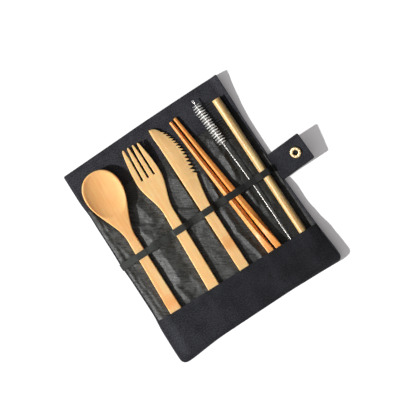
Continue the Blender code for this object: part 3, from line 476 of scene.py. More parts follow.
def bamboo(name, light, dark, deep, at, joint=None, warm_from=None, gloss=0.6, coat=0.0, streak=0.6):
    """Sanded bamboo: long fibres, wide soft bands of tone, short dark pores, and a joint's warm band if it has one."""
    f = material(name, Coat_Weight=coat, Coat_Roughness=0.3, Specular_IOR_Level=0.25, **WOOD_GLOW)
    x, y = f.blank()

    def along(across, scale, detail=2.0, roughness=0.5):
        """Noise stretched along the fibres."""
        return f.cloud(f.plain(across, y, scale, at), 1.0, detail, roughness)

    bend = along(x, (0.05, 0.012)) * 3
    bands = along(x + bend, (0.42, 0.012), 3.0, 0.6)
    lines = along(x + bend, (2.6, 0.035), 3.0, 0.65)
    pores = along(x + bend, (4.5, 0.16), 1.0).over(0.62, 0.75)
    mottle = along(x, (0.11, 0.05), 3.0, 0.6)
    share = ((bands - 0.5) * streak + lines * 0.5 + mottle * 0.45).over(0.2, 0.75)
    if warm_from is not None:
        light = f.blend(y.over(warm_from, warm_from + 30.0), light, rgb(1.0, 0.585, 0.25))
    colour = f.blend(pores * 0.34, f.blend(share, light, dark), deep)
    if joint is not None:
        away = abs(y + bend * 0.8 - joint) / 11
        band = (1 - away).over(0.0, 1.0) * (0.5 + lines * 0.6)
        ring = (1 - abs(y + bend * 0.5 - joint - 7) / 0.8).over(0.0, 1.0) * 0.6
        colour = f.blend(band * 0.8 + ring * lines, colour, deep)
    rough = lines * 0.14 + (gloss - 0.07)
    return f.wears(Base_Color=colour, Roughness=rough, Normal=f.relief(lines * 0.6 + pores * -0.5, 0.05))


def metal(name, colour, rough):
    """Bright metal with a faint cloudy wear in its polish."""
    f = material(name, Metallic=1.0)
    worn = f.solid_cloud(0.0011, 3.0, 0.6)
    return f.wears(
        Base_Color=f.blend(worn.over(0.35, 0.75), colour, toned(colour, 0.78)),
        Roughness=worn * 0.16 + (rough - 0.08),
        Normal=f.relief(f.solid_cloud(0.0004), 0.01),
    )


def fibre(name, size, dark, pale, **plain):
    """Thread or bristle: its colour drifts softly between two tones."""
    f = material(name, **plain)
    return f.wears(Base_Color=f.blend(f.solid_cloud(size), dark, pale))


# ---- Where the utensils lie, which the cloth follows


# All utensils but the straw are this long.
LONG = 200
STRAW_LONG = 194

# The handles' thickness, and the rows of a plate near its handle's end, which is rounded.
HANDLE_THICK = 4.5
KNIFE_THICK = 4.2
END_STEPS = (0, 0.1, 0.35, 0.75, 1.3, 2.2)

# The spoon's bowl is widest at its shoulder. Its tip is half of a squared-off oval of this power.
SHOULDER = 177
BOWL_TIP = 23
BOWL_HALF = 20.2
OVAL = 2.2

# The fork's head: where it is widest, and half its width.
HEAD = 163
HEAD_HALF = 13.5

# The knife's blade grows from its heel on and has this many teeth.
HEEL = 98
TEETH = 14

# Half the brush's stem, and how steeply it lies, with its tip on its bristles.
STEM_HALF = 0.75
BRUSH_SLOPE = 3.95 / 146


def spoon_half(s):
    """A narrowing handle, an S-curve to the shoulders, and a bowl that ends in a rounded oval."""
    handle = mix(14.2, 9.6, np.minimum(1, s / 124)) / 2
    body = mix(handle, BOWL_HALF, ramp(s, 124, 53))
    tip = unit((s - SHOULDER) / BOWL_TIP)
    return np.where(s > SHOULDER, BOWL_HALF * (1 - tip**OVAL) ** (1 / OVAL), body)


def spoon_rim(s):
    return mix(HANDLE_THICK, 10.0, ramp(s, 107, 50))


def fork_half(s):
    """A narrowing handle, an S-curve to the shoulders, and a head that draws in to its tips."""
    handle = mix(13.4, 10.8, np.minimum(1, s / 125)) / 2
    head = HEAD_HALF - 4.2 * (past(s, HEAD) / 37) ** 2
    return np.where(s > HEAD, head, mix(handle, HEAD_HALF, ramp(s, 125, 38)))


def knife_half(s):
    return mix(11.7, 10.9, np.minimum(1, s / HEEL)) / 2


def belly(s, bulge):
    """The blade's edge from its belly on: straight, and then a quarter of an ellipse round to the tip."""
    return -5.3 + bulge * np.sqrt(unit(1 - (past(s, 157.4) / 42.6) ** 2))


def end_draw(s):
    """How far a plate's sides draw in at its handle's end."""
    return 1.2 * fall(s / 1.3)


def stick_half(s):
    return mix(6.7, 3.4, (past(s, 85) / 115) ** 1.15) / 2


def straw_half(s):
    return mix(8.1, 8.7, s / STRAW_LONG) / 2


class Utensil:
    """Where a utensil lies: its handle's end, its lean to the left, its length, and half its width and its height."""

    def __init__(self, end, lean, length, half, top):
        self.end = end
        self.lean = radians(lean)
        self.length = length
        self.half = half
        self.top = top

    def middle(self, y):
        return self.end[0] - tan(self.lean) * (y - self.end[1])

    def span(self, y):
        """Left side, right side and height above the rest plane at y."""
        s = np.clip((y - self.end[1]) / cos(self.lean), 0, self.length)
        half = self.half(s) / cos(self.lean)
        return self.middle(y) - half, self.middle(y) + half, self.top(s) + 0 * s

    def away(self, x, y):
        """Distance from the utensil's outline on the cloth, negative beneath it."""
        left, right, _ = self.span(y)
        beside = np.maximum(left - x, x - right)
        beyond = np.maximum(y - self.end[1] - self.length, self.end[1] - y)
        return np.where(beyond > 0, np.hypot(np.maximum(beside, 0), beyond), beside)

    def lay(self, points, lift=REST, pitch=0.0):
        """Points of the utensil's own frame, tipped up by pitch, turned by its lean and set down at its end."""
        x, s, z = points[..., 0], points[..., 1], points[..., 2]
        s, z = s * cos(pitch) - z * sin(pitch), s * sin(pitch) + z * cos(pitch)
        c, n = cos(self.lean), sin(self.lean)
        return join(self.end[0] + x * c - s * n, self.end[1] + x * n + s * c, z + lift)


SPOON = Utensil((-73.1, -102.1), -1.93, LONG, spoon_half, spoon_rim)
FORK = Utensil((-29.1, -101.1), -2.62, LONG, fork_half, lambda s: HANDLE_THICK)
KNIFE = Utensil((8.75, -98.2), -0.25, LONG, knife_half, lambda s: KNIFE_THICK)
LEFT_STICK = Utensil((43.0, -102.4), 4.55, LONG, stick_half, lambda s: 2 * stick_half(s))
RIGHT_STICK = Utensil((52.5, -101.0), 5.68, LONG, stick_half, lambda s: 2 * stick_half(s))
BRUSH = Utensil((63.9, -97.0), 1.6, LONG, lambda s: STEM_HALF + 0 * s, lambda s: 1.5 + s * BRUSH_SLOPE)
STRAW = Utensil((77.6, -102.8), 0.0, STRAW_LONG, straw_half, lambda s: 2 * straw_half(s))
LAID = (SPOON, FORK, KNIFE, LEFT_STICK, RIGHT_STICK, BRUSH, STRAW)


def knife_blade_away(x, y):
    """Distance from the blade's belly, which stands out past the handle's line."""
    s = np.clip(y - KNIFE.end[1], 0, 199.92)
    out = mix(knife_half(s), belly(s, 19), ramp(s, HEEL, 39))
    return np.where((s < LONG) & (x > KNIFE.middle(y)), x - KNIFE.middle(y) - out, 99.0)


def away_from_all(x, y):
    """Distance from the nearest utensil, negative beneath one."""
    nearest = knife_blade_away(x, y)
    for utensil in LAID:
        nearest = np.minimum(nearest, utensil.away(x, y))
    return nearest


# ---- The ground shape of the wrap


LEFT_EDGE = ((-112, -95.4), (-100, -95.9), (-80, -95.5), (-64, -94.9), (-58, -93.4), (-10, -93), (5, -93.8), (20, -93))
LEFT_EDGE += ((50, -92.6), (65, -92), (76, -93.3), (110, -92.5))
RIGHT_EDGE = ((-112, 95.6), (-100, 95.9), (-80, 94.1), (-60, 92.7), (-40, 91.9), (-15, 91.1), (34, 90.3), (64, 90.2))
RIGHT_EDGE += ((74, 91), (112, 91.2))
TOP_EDGE = ((-93, 110.1), (-60, 110.7), (-20, 111.4), (0, 111.9), (40, 112.1), (70, 112), (91, 111.6))
BOTTOM_EDGE = ((-95, -112.4), (-85, -113.1), (-70, -111.8), (-58, -110.6), (-46, -110), (36, -110), (50, -110.6))
BOTTOM_EDGE += ((62, -110.9), (85, -112), (95, -111.6))
LIFT_LINE = ((-112, 7.4), (-104, 7.8), (-92, 7.3), (-80, 7.6), (-74, 7.3), (-68, 6.4), (-61, 5.4), (-56, 5.3))
LIFT_LINE += ((-50, 4.5), (-44, 4.1), (-34, 4.4), (-26, 4.6), (-18, 5.0), (-12, 2.6), (20, 2.4), (28, 2.3), (46, 2.7))
LIFT_LINE += ((58, 3.0), (70, 3.4), (82, 4.4), (94, 5.9), (104, 7.6), (112, 9.2))
MOUTH_LINE = ((-95, -62.4), (-60, -63.6), (0, -65), (40, -66), (92, -67.2))


def outline(x, y):
    """Moves the nominal rectangle onto the wrap's outline.

    Each corner's square is pressed into a quarter disc, and the sides then slide to the cloth's own bowed edges.
    """
    for radius, end in ((BOTTOM_CORNER, -1), (TOP_CORNER, 1)):
        a = unit((np.abs(x) - HALF_WIDE + radius) / radius)
        b = unit((y * end - HALF_LONG + radius) / radius)
        x = np.sign(x) * (np.abs(x) - radius * a * squash(b))
        y = y - end * radius * b * squash(a)
    across = mix(softened_line(y, LEFT_EDGE), softened_line(y, RIGHT_EDGE), (x + HALF_WIDE) / (2 * HALF_WIDE))
    along = mix(softened_line(x, BOTTOM_EDGE), softened_line(x, TOP_EDGE), (y + HALF_LONG) / (2 * HALF_LONG))
    return across, along


def right_edge(y):
    return softened_line(y, RIGHT_EDGE)


def mouth_line(x):
    return softened_line(x, MOUTH_LINE)


def lift_line(y):
    """How high the right edge stands off the table."""
    return softened_line(y, LIFT_LINE)


def over_stud(x, y):
    """1 over the stud, falling softly to 0 all round it before the utensils beside it."""
    return 1 - ramp(np.hypot(x - STUD[0], y - STUD[1]), 6, 11)


def ground(x, y):
    """Height of the wrap's underside: the right edge curls up, most at its corners, with a rise over the stud."""
    lift = lift_line(y) * ramp(x, CURL_FROM, right_edge(y) + 1.2 - CURL_FROM)
    return lift + 2.4 * over_stud(x, y)


def root_rise(x, y):
    """How far the lining stands higher over the tab's sewn-in root and over the stud's plate."""
    root = 1.7 * ramp(x, 81.75, 2.5) * (1 - ramp(np.abs(y - TAB_Y), 16.4, 5))
    return root + 0.8 * over_stud(x, y)


def at_tab(y):
    """1 where the tab leaves the edge and 0 elsewhere."""
    return 1 - ramp(np.abs(y - TAB_Y), 14.5, 1.5)


# ---- Cloth


def make_shell(finish):
    """The outer canvas. Its turned rim stands as a bead round the edge and falls to the flat cloth inside it."""
    x0, y0 = np.meshgrid(graded(-HALF_WIDE, HALF_WIDE, 2.6), graded(-HALF_LONG, HALF_LONG, 2.6))
    edge = np.minimum(HALF_WIDE - np.abs(x0), HALF_LONG - np.abs(y0))
    x, y = outline(x0, y0)
    base, round_edge, bead_wide, bead_falls = ground(x, y), 0.9, 1.1, 1.7
    low = base + round_edge * fall(edge / round_edge)
    bead = 1.25 + 0.22 * noise(x, y, 6, 3) + 0.12 * noise(x, y, 2.3, 4)
    bead = mix(bead, 0.05, (x > 80) * at_tab(y))
    high = base + round_edge + bead * dome(edge / bead_wide)
    high = np.where(edge > bead_wide, mix(high, base + SHELL, ramp(edge, bead_wide, bead_falls)), high)
    made = slab("shell_canvas", join(x, y, high), join(x, y, low), finish, flat=join(x0, y0))
    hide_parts("outer_shell")


def facing_high(x, y):
    """The facing's upper face: level under the utensils, and softly uneven between them."""
    free = ramp(away_from_all(x, y), 0.6, 5)
    swell = 0.45 + 0.5 * noise(x, y, 15, 11) + 0.25 * noise(x, y, 6, 12)
    return ground(x, y) + INNER + FACING_THICK + free * np.maximum(0, swell)


def make_facing(finish):
    """The canvas band inside the top edge, folded under along its lower seam."""
    left, right, top = 1.5 - HALF_WIDE, HALF_WIDE - 1.9, HALF_LONG - 1.5
    x0, y0 = np.meshgrid(graded(left, right, 1.8), graded(FACING_Y, top, 1.8))
    side = np.minimum(np.minimum(x0 - left, right - x0), top - y0)
    x, y = outline(x0, y0)
    high = facing_high(x, y) - 0.45 * fall(side) - 0.4 * fall((y0 - FACING_Y) / 0.8)
    low = ground(x, y) + INNER + 0.3 * fall((y0 - FACING_Y) / 0.5)
    made = slab("facing_canvas", join(x, y, high), join(x, y, low), finish, flat=join(x0, y0))
    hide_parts("top_facing")


# Folds of the loose lining: two ends of a sharp crest, its rise, and the width of its left and of its right slope.
FOLDS = (
    (-51.6, 5, -51.2, -40, 3.7, 9, 14),
    (-57, -45, -53.5, -66, 1.9, 4.5, 5),
    (-56, 19, -52, 4, 2.7, 6, 7),
    (-46, 46, -41.5, 26, 2.5, 9, 8),
    (-60, 30.5, -46.5, 22.5, 2.5, 5, 2.6),
    (-47, 12, -31, 18, 1.3, 4, 3),
    (-44, -8, -38, -60, 0.9, 4, 4),
    (-87.0, 66, -87.4, 48, 1.5, 4.5, 2),
    (-88.4, 44, -88.0, 24, 0.9, 3, 2),
    (-86.8, 20, -87.6, 6, 1.3, 4.5, 2),
    (-88.6, -2, -88.8, -30, 0.8, 2.6, 2),
    (-87.8, -34, -87.0, -66, 1.0, 3.4, 2.5),
    (-85.5, 64, -84, 40, 0.8, 3.2, 3),
    (-84, 24, -81, 10, 0.8, 2.8, 3),
    (-84.5, -20, -82, -50, 0.7, 2.8, 3),
    (2.4, 46, 3.2, 18, 2.4, 12, 1.6),
    (-14, 17.5, 2, 9.5, 2.7, 8, 4.5),
    (3, -3, 3.4, -29, 1.7, 13, 1.6),
    (-7, -30, -4, -62, 0.45, 6, 7),
    (28, 30, 26, 6, 1.5, 7, 3),
    (26.8, 16, 26.4, 8, 2.2, 4.5, 3),
    (23.6, -9, 23.6, -30, 2.6, 4.5, 5),
    (24.5, -33, 29.5, -66, 2.5, 3.8, 5),
    (53.5, 57, 53, 46, 1.9, 8, 3),
    (53.6, 38, 52.5, 16, 2.7, 6.2, 4),
    (55.2, -4, 55, -17, 1.9, 4.2, 3),
    (59, -17, 60, -30, 1.1, 5, 3),
    (66, -30, 66, -62, 0.5, 6, 5),
    (68, 44, 68.4, 10, 0.4, 4, 5),
    (68, -3, 71, -26, 0.5, 5, 3),
)


def fold_height(x, y):
    """Tent-like ridges: a rise that falls straight from a crest's line to both sides, and fades past its ends."""
    height = 0 * x
    wander = 0.8 * noise(x, y, 13, 21) + 0.3 * noise(x, y, 4, 22)
    for x1, y1, x2, y2, rise, left_wide, right_wide in FOLDS:
        run_x, run_y = x2 - x1, y2 - y1
        length = hypot(run_x, run_y)
        along = ((x - x1) * run_x + (y - y1) * run_y) / length
        beside = ((x - x1) * run_y - (y - y1) * run_x) / length * (1 if run_y > 0 else -1) + wander
        wide = np.where(beside < 0, left_wide, right_wide)
        beyond = np.maximum(0, np.maximum(-along, along - length) / 7)
        height = np.maximum(height, rise * (1 - np.hypot(beside / wide, beyond)))
    return height


def crumple_height(x, y):
    """Small sharp folds: how far soft noise is from zero, on a slanted and warped plane, at three sizes."""
    warp = 3.0 * noise(x, y, 14, 31)
    u, v = x * 0.9 + y * 0.35 + warp, y * 0.75 - x * 0.45 - warp
    large = np.abs(noise(u, v, 9.5, 32))
    small = np.abs(noise(u + 3, v, 4.6, 33))
    tiny = np.abs(noise(u, v + 5, 2.3, 34))
    return 0.5 * large + 0.26 * small + 0.1 * tiny


def lining_high(x, y):
    """The lining's upper face: pressed flat under the utensils, the elastic and the seams, and creased elsewhere."""
    band = np.abs(y - BAND_Y) - BAND_WIDE / 2
    free = ramp(away_from_all(x, y), 0.3, 2.0) * ramp(band, -0.4, 2.2)
    free = free * smooth((FACING_Y - y) / 3) * ramp(y - mouth_line(x), -7, 6)
    free = free * ramp(x, -92, 1.2) * smooth((86.8 - x) / 3)
    rise = fold_height(x, y) + crumple_height(x, y)
    return ground(x, y) + root_rise(x, y) + INNER + LINING_TOP + free * rise


def make_lining(finish):
    """The thin lining from the facing down to the bottom seam."""
    across = graded(-HALF_WIDE + 1.5, HALF_WIDE - 2.4, 0.95)
    along = np.concatenate([np.linspace(-108, -72, 9), np.linspace(-70, FACING_Y - 0.15, 150)])
    x0, y0 = np.meshgrid(across, along)
    x, y = outline(x0, y0)
    high = lining_high(x, y)
    made = slab("lining_nylon", join(x, y, high), join(x, y, high - LINING_THICK), finish, flat=join(x0, y0))
    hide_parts("lining")


DRAPED = ((SPOON,), (FORK,), (KNIFE,), (LEFT_STICK, RIGHT_STICK), (STRAW,))


def pocket_low(x, y):
    """The pocket's underside: level over each handle, sagging a little between two, and falling to the seams."""
    left, right = softened_line(y, LEFT_EDGE) + 1.4, right_edge(y) - 1.4
    knots = [(left, 0.5)]
    for group in DRAPED:
        spans = [utensil.span(y) for utensil in group]
        full = min(utensil.end[1] for utensil in group) - 1
        close = dome((y + POCKET_SEAM) / (full + POCKET_SEAM))
        top = (np.max([span[2] for span in spans], 0) + REST - INNER + 0.35) * close
        near, far = np.min([span[0] for span in spans], 0), np.max([span[1] for span in spans], 0)
        knots += [(near - 0.5, top), (far + 0.5, top)]
    knots.append((right, 0.5))
    height = 0 * x
    for k, (near, far) in enumerate(zip(knots, knots[1:])):
        t = unit((x - near[0]) / (far[0] - near[0]))
        if k == 0:
            stretch = mix(near[1], far[1], smooth(t))
        elif k == len(knots) - 2:
            stretch = mix(near[1] + ground(near[0], y), far[1] + ground(far[0], y), t) - ground(x, y)
        else:
            stretch = mix(near[1], far[1], t) - (k % 2 == 0) * 2.6 * t * (1 - t)
        height = np.where((x >= near[0]) & (x <= far[0]), stretch, height)
    return ground(x, y) + INNER + np.maximum(0.45, height)


def pocket_high(x, y):
    """The pocket's outside: its cloth's thickness, doubled in the hem along the mouth, with a soft unevenness."""
    hem = 0.5 * ramp(y - mouth_line(x), -9.4, 0.9)
    swell = 0.3 * np.maximum(0, noise(x, y, 19, 41)) + 0.14 * noise(x, y, 5, 42)
    ridge = 0.5 * np.exp(-(((x - 33 - 0.06 * (y + 84)) / 3.2) ** 2)) * ramp(y, -106, 14)
    return pocket_low(x, y) + POCKET_THICK + hem + swell + ridge


def make_pocket(finish):
    """The canvas pocket, with a rounded folded mouth."""
    inside, bottom, deep = HALF_WIDE - 1.3, 1.3 - HALF_LONG, 44
    x0, share = np.meshgrid(graded(-inside, inside, 1.35), graded(0, deep, 1.3) / deep)
    x, y = outline(x0, mix(bottom, POCKET_FROM, share))
    mouth = mouth_line(x)
    low_edge = outline(x0, np.full_like(x0, bottom))[1]
    fixed = outline(x0, np.full_like(x0, POCKET_FROM))[1]
    y = mix(low_edge, mouth, (y - low_edge) / (fixed - low_edge))
    from_mouth = mouth - y
    low = pocket_low(x, y) + 0.5 * fall(from_mouth / 0.6)
    high = pocket_high(x, y) - 0.75 * fall(from_mouth / 0.9) - 0.4 * fall(inside - np.abs(x0))
    flat = join(x0, mix(-112, POCKET_FROM, share))
    made = slab("pocket_canvas", join(x, y, high), join(x, y, low), finish, flat=flat)
    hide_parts("pocket")


# The utensils that the elastic crosses together, and its lowest points on both sides: x and height over the lining.
CROSSED = (
    ((SPOON,), (-92.5, 0.0), (-48.5, 0.0)),
    ((FORK,), (-32.6, 0.0), (-10.5, 0.0)),
    ((KNIFE,), (-1.2, 0.0), (20.2, 0.3)),
    ((LEFT_STICK, RIGHT_STICK), (26.8, 0.8), (54.0, 4.6)),
    ((BRUSH,), (55.0, 4.5), (66.8, 4.9)),
    ((STRAW,), (67.8, 5.2), (86.3, 0.0)),
)


def band_path():
    """The elastic's underside as (x, height above the lining), drawn straight between the utensils and low points."""
    points = [(-94.3, 0.0)]
    for group, near, far in CROSSED:
        spans = [utensil.span(np.array(BAND_Y + step)) for utensil in group for step in (-3.5, 3.5)]
        left, right = min(float(span[0]) for span in spans), max(float(span[1]) for span in spans)
        top = max(float(span[2]) for span in spans) + REST - INNER - 0.5
        points += [near, (left - 0.3, top), (left + 0.8, top + 0.1)]
        points += [(right - 0.8, top + 0.1), (right + 0.3, top), far]
    points.append((86.8, 0.0))
    return corner_cut(np.array(points), 3)


def band_low(x, y):
    """The elastic's underside over the lining."""
    return ground(x, y) + root_rise(x, y) + INNER + BAND_FOOT + np.interp(x, *band_path().T)


def make_band(finish):
    """The elastic: rounded lengthwise ribs carried along its path, over the utensils and down between them."""
    path = band_path()
    gaps = np.diff(path[:, 0])
    extra = [np.linspace(path[i, 0], path[i + 1, 0], 8)[1:-1] for i in np.nonzero(gaps > 3)[0]]
    across = np.unique(np.round(np.concatenate([path[:, 0], *extra]), 3))
    share = np.linspace(-1, 1, 49)
    x, share = np.meshgrid(across, share)
    waver = 0.18 * noise(x, 0 * x, 13, 51)
    width = BAND_WIDE / 2 * (1 - 0.03 * np.abs(noise(x, 0 * x, 9, 52)))
    y = BAND_Y + share * width + waver
    low = band_low(x, y)
    ribs = 0.24 * np.abs(np.sin(share * pi * 3.5))
    edge = 0.35 * fall((1 - np.abs(share)) * width / 0.5)
    high = low + BAND_THICK + ribs - edge
    slope = np.gradient(low, across, axis=1)
    lean = np.clip(slope, -1.6, 1.6) / np.sqrt(1 + slope**2)
    top = join(x - 0.75 * lean, y, high)
    made = slab("band_elastic", top, join(x, y, low + edge * 0.5), finish, flat=join(x, y))
    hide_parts("elastic_band")


TAB_TURN = radians(2.7)
TAB_SLOPE = radians(19)
TAB_ROLL = radians(9.5)
TAB_FOOT = 2.4
TAB_LONG = 35.2
TAB_HALF = 14.9
TAB_CORNER = 1.6

# Where the snap's middle is: past the wrap's edge, and across; and how high its socket stands over the underside.
SNAP_AT = (23.4, 0.6)
SNAP_LIFT = 1.62


def tab_low(along, across):
    """A point of the tab's underside, by its distance past the wrap's edge and across.

    It is level in the seam, bends up to its slope, and rolls so that its far side stands higher.
    """
    x = 91.75 + along * cos(TAB_TURN) - across * sin(TAB_TURN)
    y = TAB_Y + along * sin(TAB_TURN) + across * cos(TAB_TURN)
    eased = 4 * unit(along / 8) ** 2 + past(along, 8)
    edge = np.minimum(ground(x, y), TAB_FOOT) + INNER
    sloped = TAB_FOOT + INNER + eased * tan(TAB_SLOPE) + across * tan(TAB_ROLL) * smooth(along / 12)
    return join(x, y, np.where(along > 0, sloped, edge))


def on_tab(points, lift=0.0):
    """Points given along, across and off the tab's face, from the middle of its snap."""
    start, ahead, beside = tab_low(SNAP_AT[0] + np.array([0, 1, 0]), SNAP_AT[1] + np.array([0, 0, 1]))
    along = directions(ahead - start)
    off = directions(np.cross(along, beside - start))
    across = np.cross(off, along)
    return start + points[..., :1] * along + points[..., 1:2] * across + (points[..., 2:] + lift) * off


def make_tab(finish):
    """The canvas tab: folded edges, corners turned to a small radius, and a hollow pressed round its snap."""
    a, c = np.meshgrid(graded(-4.5, TAB_LONG, 1.1), graded(-TAB_HALF, TAB_HALF, 1.1))
    edge = np.minimum(TAB_HALF - np.abs(c), TAB_LONG - a)
    near = unit((np.abs(c) - TAB_HALF + TAB_CORNER) / TAB_CORNER)
    far = unit((a - TAB_LONG + TAB_CORNER) / TAB_CORNER)
    a2 = a - TAB_CORNER * far * squash(near)
    c2 = c - np.sign(c) * TAB_CORNER * near * squash(far)
    base = tab_low(a2, c2)
    round_snap = np.hypot(a - SNAP_AT[0], c - SNAP_AT[1])
    pull = 0.3 * np.exp(-(((round_snap - 5) / 3.5) ** 2))
    swell = 0.25 * dome(edge / 2.4) * (1 + 0.5 * noise(a, c, 5, 61)) * smooth(a / 4) * ramp(round_snap, 6, 4)
    bow = 0.5 * (1 - (c / TAB_HALF) ** 2) * smooth(a / 10) * smooth((TAB_LONG - a) / 20 + 0.2)
    bow = bow * ramp(round_snap, 5, 6)
    top, bottom = base.copy(), base.copy()
    hem = 0.3 * smooth((3.4 - edge) / 0.8) * ramp(a, 1, 2)
    top[..., 2] += TAB_THICK - 0.6 * fall(edge / 0.8) + swell + hem - 0.2 * pull + bow
    bottom[..., 2] += 0.6 * fall(edge / 0.8) + bow
    made = slab("tab_canvas", top, bottom, finish, flat=join(a + 130, c))
    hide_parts("closing_tab")


# ---- Stitching


# The hem's height over the tab's underside, and the tacks that hold the elastic down, by their x.
TAB_HEM = 1.75
TACKS = (-48.2, -33.4, -10.2, -1.6, 20.6, 26.4)


def stitch_rows():
    """Every seam as (points along it): facing, top edge, sides, pocket hem, tab, and the tacks across the elastic."""
    rows = []

    def on_facing(x0, y0):
        x, y = outline(x0, y0)
        rows.append(join(x, y, facing_high(x, y)))

    wide = np.linspace(-88.6, 87.4, 600)
    tall = np.linspace(FACING_Y + 1.6, HALF_LONG - 4.2, 200)
    for end in (0, -1):
        on_facing(wide, np.full_like(wide, tall[end]))
    for side in (-88.6, 87.6):
        on_facing(np.full_like(tall, side), tall)
    x = np.linspace(-90.5, 90.0, 600)
    y = mouth_line(x) - 7.6
    rows.append(join(x, y, pocket_high(x, y) - 0.02))
    corners = [(2.0, 12.6), (32.9, 12.6), (32.9, -12.6), (2.0, -12.6)]
    for start, end in zip(corners, corners[1:]):
        share = np.linspace(0, 1, 120)
        rows.append(tab_low(mix(start[0], end[0], share), mix(start[1], end[1], share)) + [0, 0, TAB_HEM])
    for x1 in TACKS:
        y = np.linspace(BAND_Y - 3.2, BAND_Y + 3.2, 60)
        x = x1 + 0.5 * np.sin((y - BAND_Y) * pi / 1.6)
        rows.append(join(x, y, band_low(x, y) + 0.95))
    return rows


def make_stitches(finish):
    """Lockstitches: short beads of thread set along each seam, a little sunk at both ends."""
    pitch, length, radius = 2.9, 2.3, 0.24
    ends = []
    for row in stitch_rows():
        run = np.concatenate([[0], np.cumsum(np.linalg.norm(np.diff(row, axis=0), axis=1))])
        spacing = min(pitch, run[-1] / 4)
        first = np.arange(0, run[-1] - spacing * 0.8, spacing)
        at = np.stack([first, first + spacing * length / pitch])
        ends.append(join(*(np.interp(at, run, row[:, k]) for k in range(3))))
    start, end = np.concatenate(ends, 1)
    ahead = directions(end - start)
    side = directions(np.cross(ahead, (0, 0, 1.0)))
    up = np.cross(side, ahead)
    share = np.array([0.0, 0.12, 0.35, 0.65, 0.88, 1.0])
    thick = radius * np.array([0.35, 0.8, 1.0, 1.0, 0.8, 0.35])
    sink = np.array([-0.25, -0.06, 0.02, 0.02, -0.06, -0.25])
    centre = start[:, None] + (end - start)[:, None] * share[:, None] + up[:, None] * sink[:, None]
    caps = [[0, 5, 4, 3], [0, 3, 2, 1], [30, 31, 32, 33], [30, 33, 34, 35]]
    points = spindles(centre, side, up, thick, 6)
    made = swarm("stitching", points, np.concatenate([ring_faces(6, 6), caps]), finish)


# ---- Utensils


def plate(name, utensil, x, y, s, high, low, finish, keep=None, crease=60):
    """A utensil's plate between its upper and its lower heights, laid in its place. x and s are its flat blank."""
    top, bottom = utensil.lay(join(x, y, high)), utensil.lay(join(x, y, low))
    return slab(name, top, bottom, finish, keep, join(x, s), crease)


def make_spoon(finish):
    """The spoon: a plate whose upper face is hollowed and whose underside is rounded to match.

    The hollow is 1 minus a squared-off oval distance from the bowl's middle, raised to a power that steepens its
    sides. Edges are rounded by a quarter circle of the distance from the outline.
    """
    turn = np.linspace(0, pi / 2, 26)[1:]
    tip = SHOULDER + BOWL_TIP * np.sin(turn) ** (2 / OVAL)
    s = np.concatenate([END_STEPS, np.linspace(6, 112, 28), np.linspace(114.5, SHOULDER, 42), tip])
    steps = np.array([0.0, 0.012, 0.04, 0.085, 0.14, 0.2])
    inner = 1 - steps[-1] * 1.6
    share = np.concatenate([steps - 1, np.linspace(-inner, inner, 25), 1 - steps[::-1]])
    share, s = np.meshgrid(share, s)
    half = spoon_half(s) - end_draw(s)
    x = half * share

    def oval(middle, long, wide):
        """A squared-off oval distance: 1 on an oval of that half length and half width."""
        return (np.abs(s - middle) / long) ** OVAL + (np.abs(x) / wide) ** OVAL

    tip_oval = ((past(s, SHOULDER) / BOWL_TIP) ** OVAL + (np.abs(x) / BOWL_HALF) ** OVAL) ** (1 / OVAL)
    edge = np.where(s > SHOULDER, (1 - tip_oval) * BOWL_HALF, half - np.abs(x))
    edge = np.clip(np.minimum(edge, s), 0, None)
    rim = spoon_rim(s)
    thick = mix(HANDLE_THICK, 2.0, ramp(s, 114, 40))
    hollow = 3.8 * np.maximum(0, 1 - oval(174.7, 23.9, 18.8)) ** 0.8
    under = (10.0 - thick) * np.maximum(0, 1 - oval(173.2, 27.5, 20.6)) ** 0.72
    radius = np.minimum(1.1, thick * 0.48)
    soften = radius * fall(edge / radius)
    high = rim - hollow - soften
    low = np.minimum(np.maximum(0, rim - thick - under) + soften, high)
    made = plate("spoon_bamboo", SPOON, x, s, s, high, low, finish, crease=70)
    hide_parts("spoon")


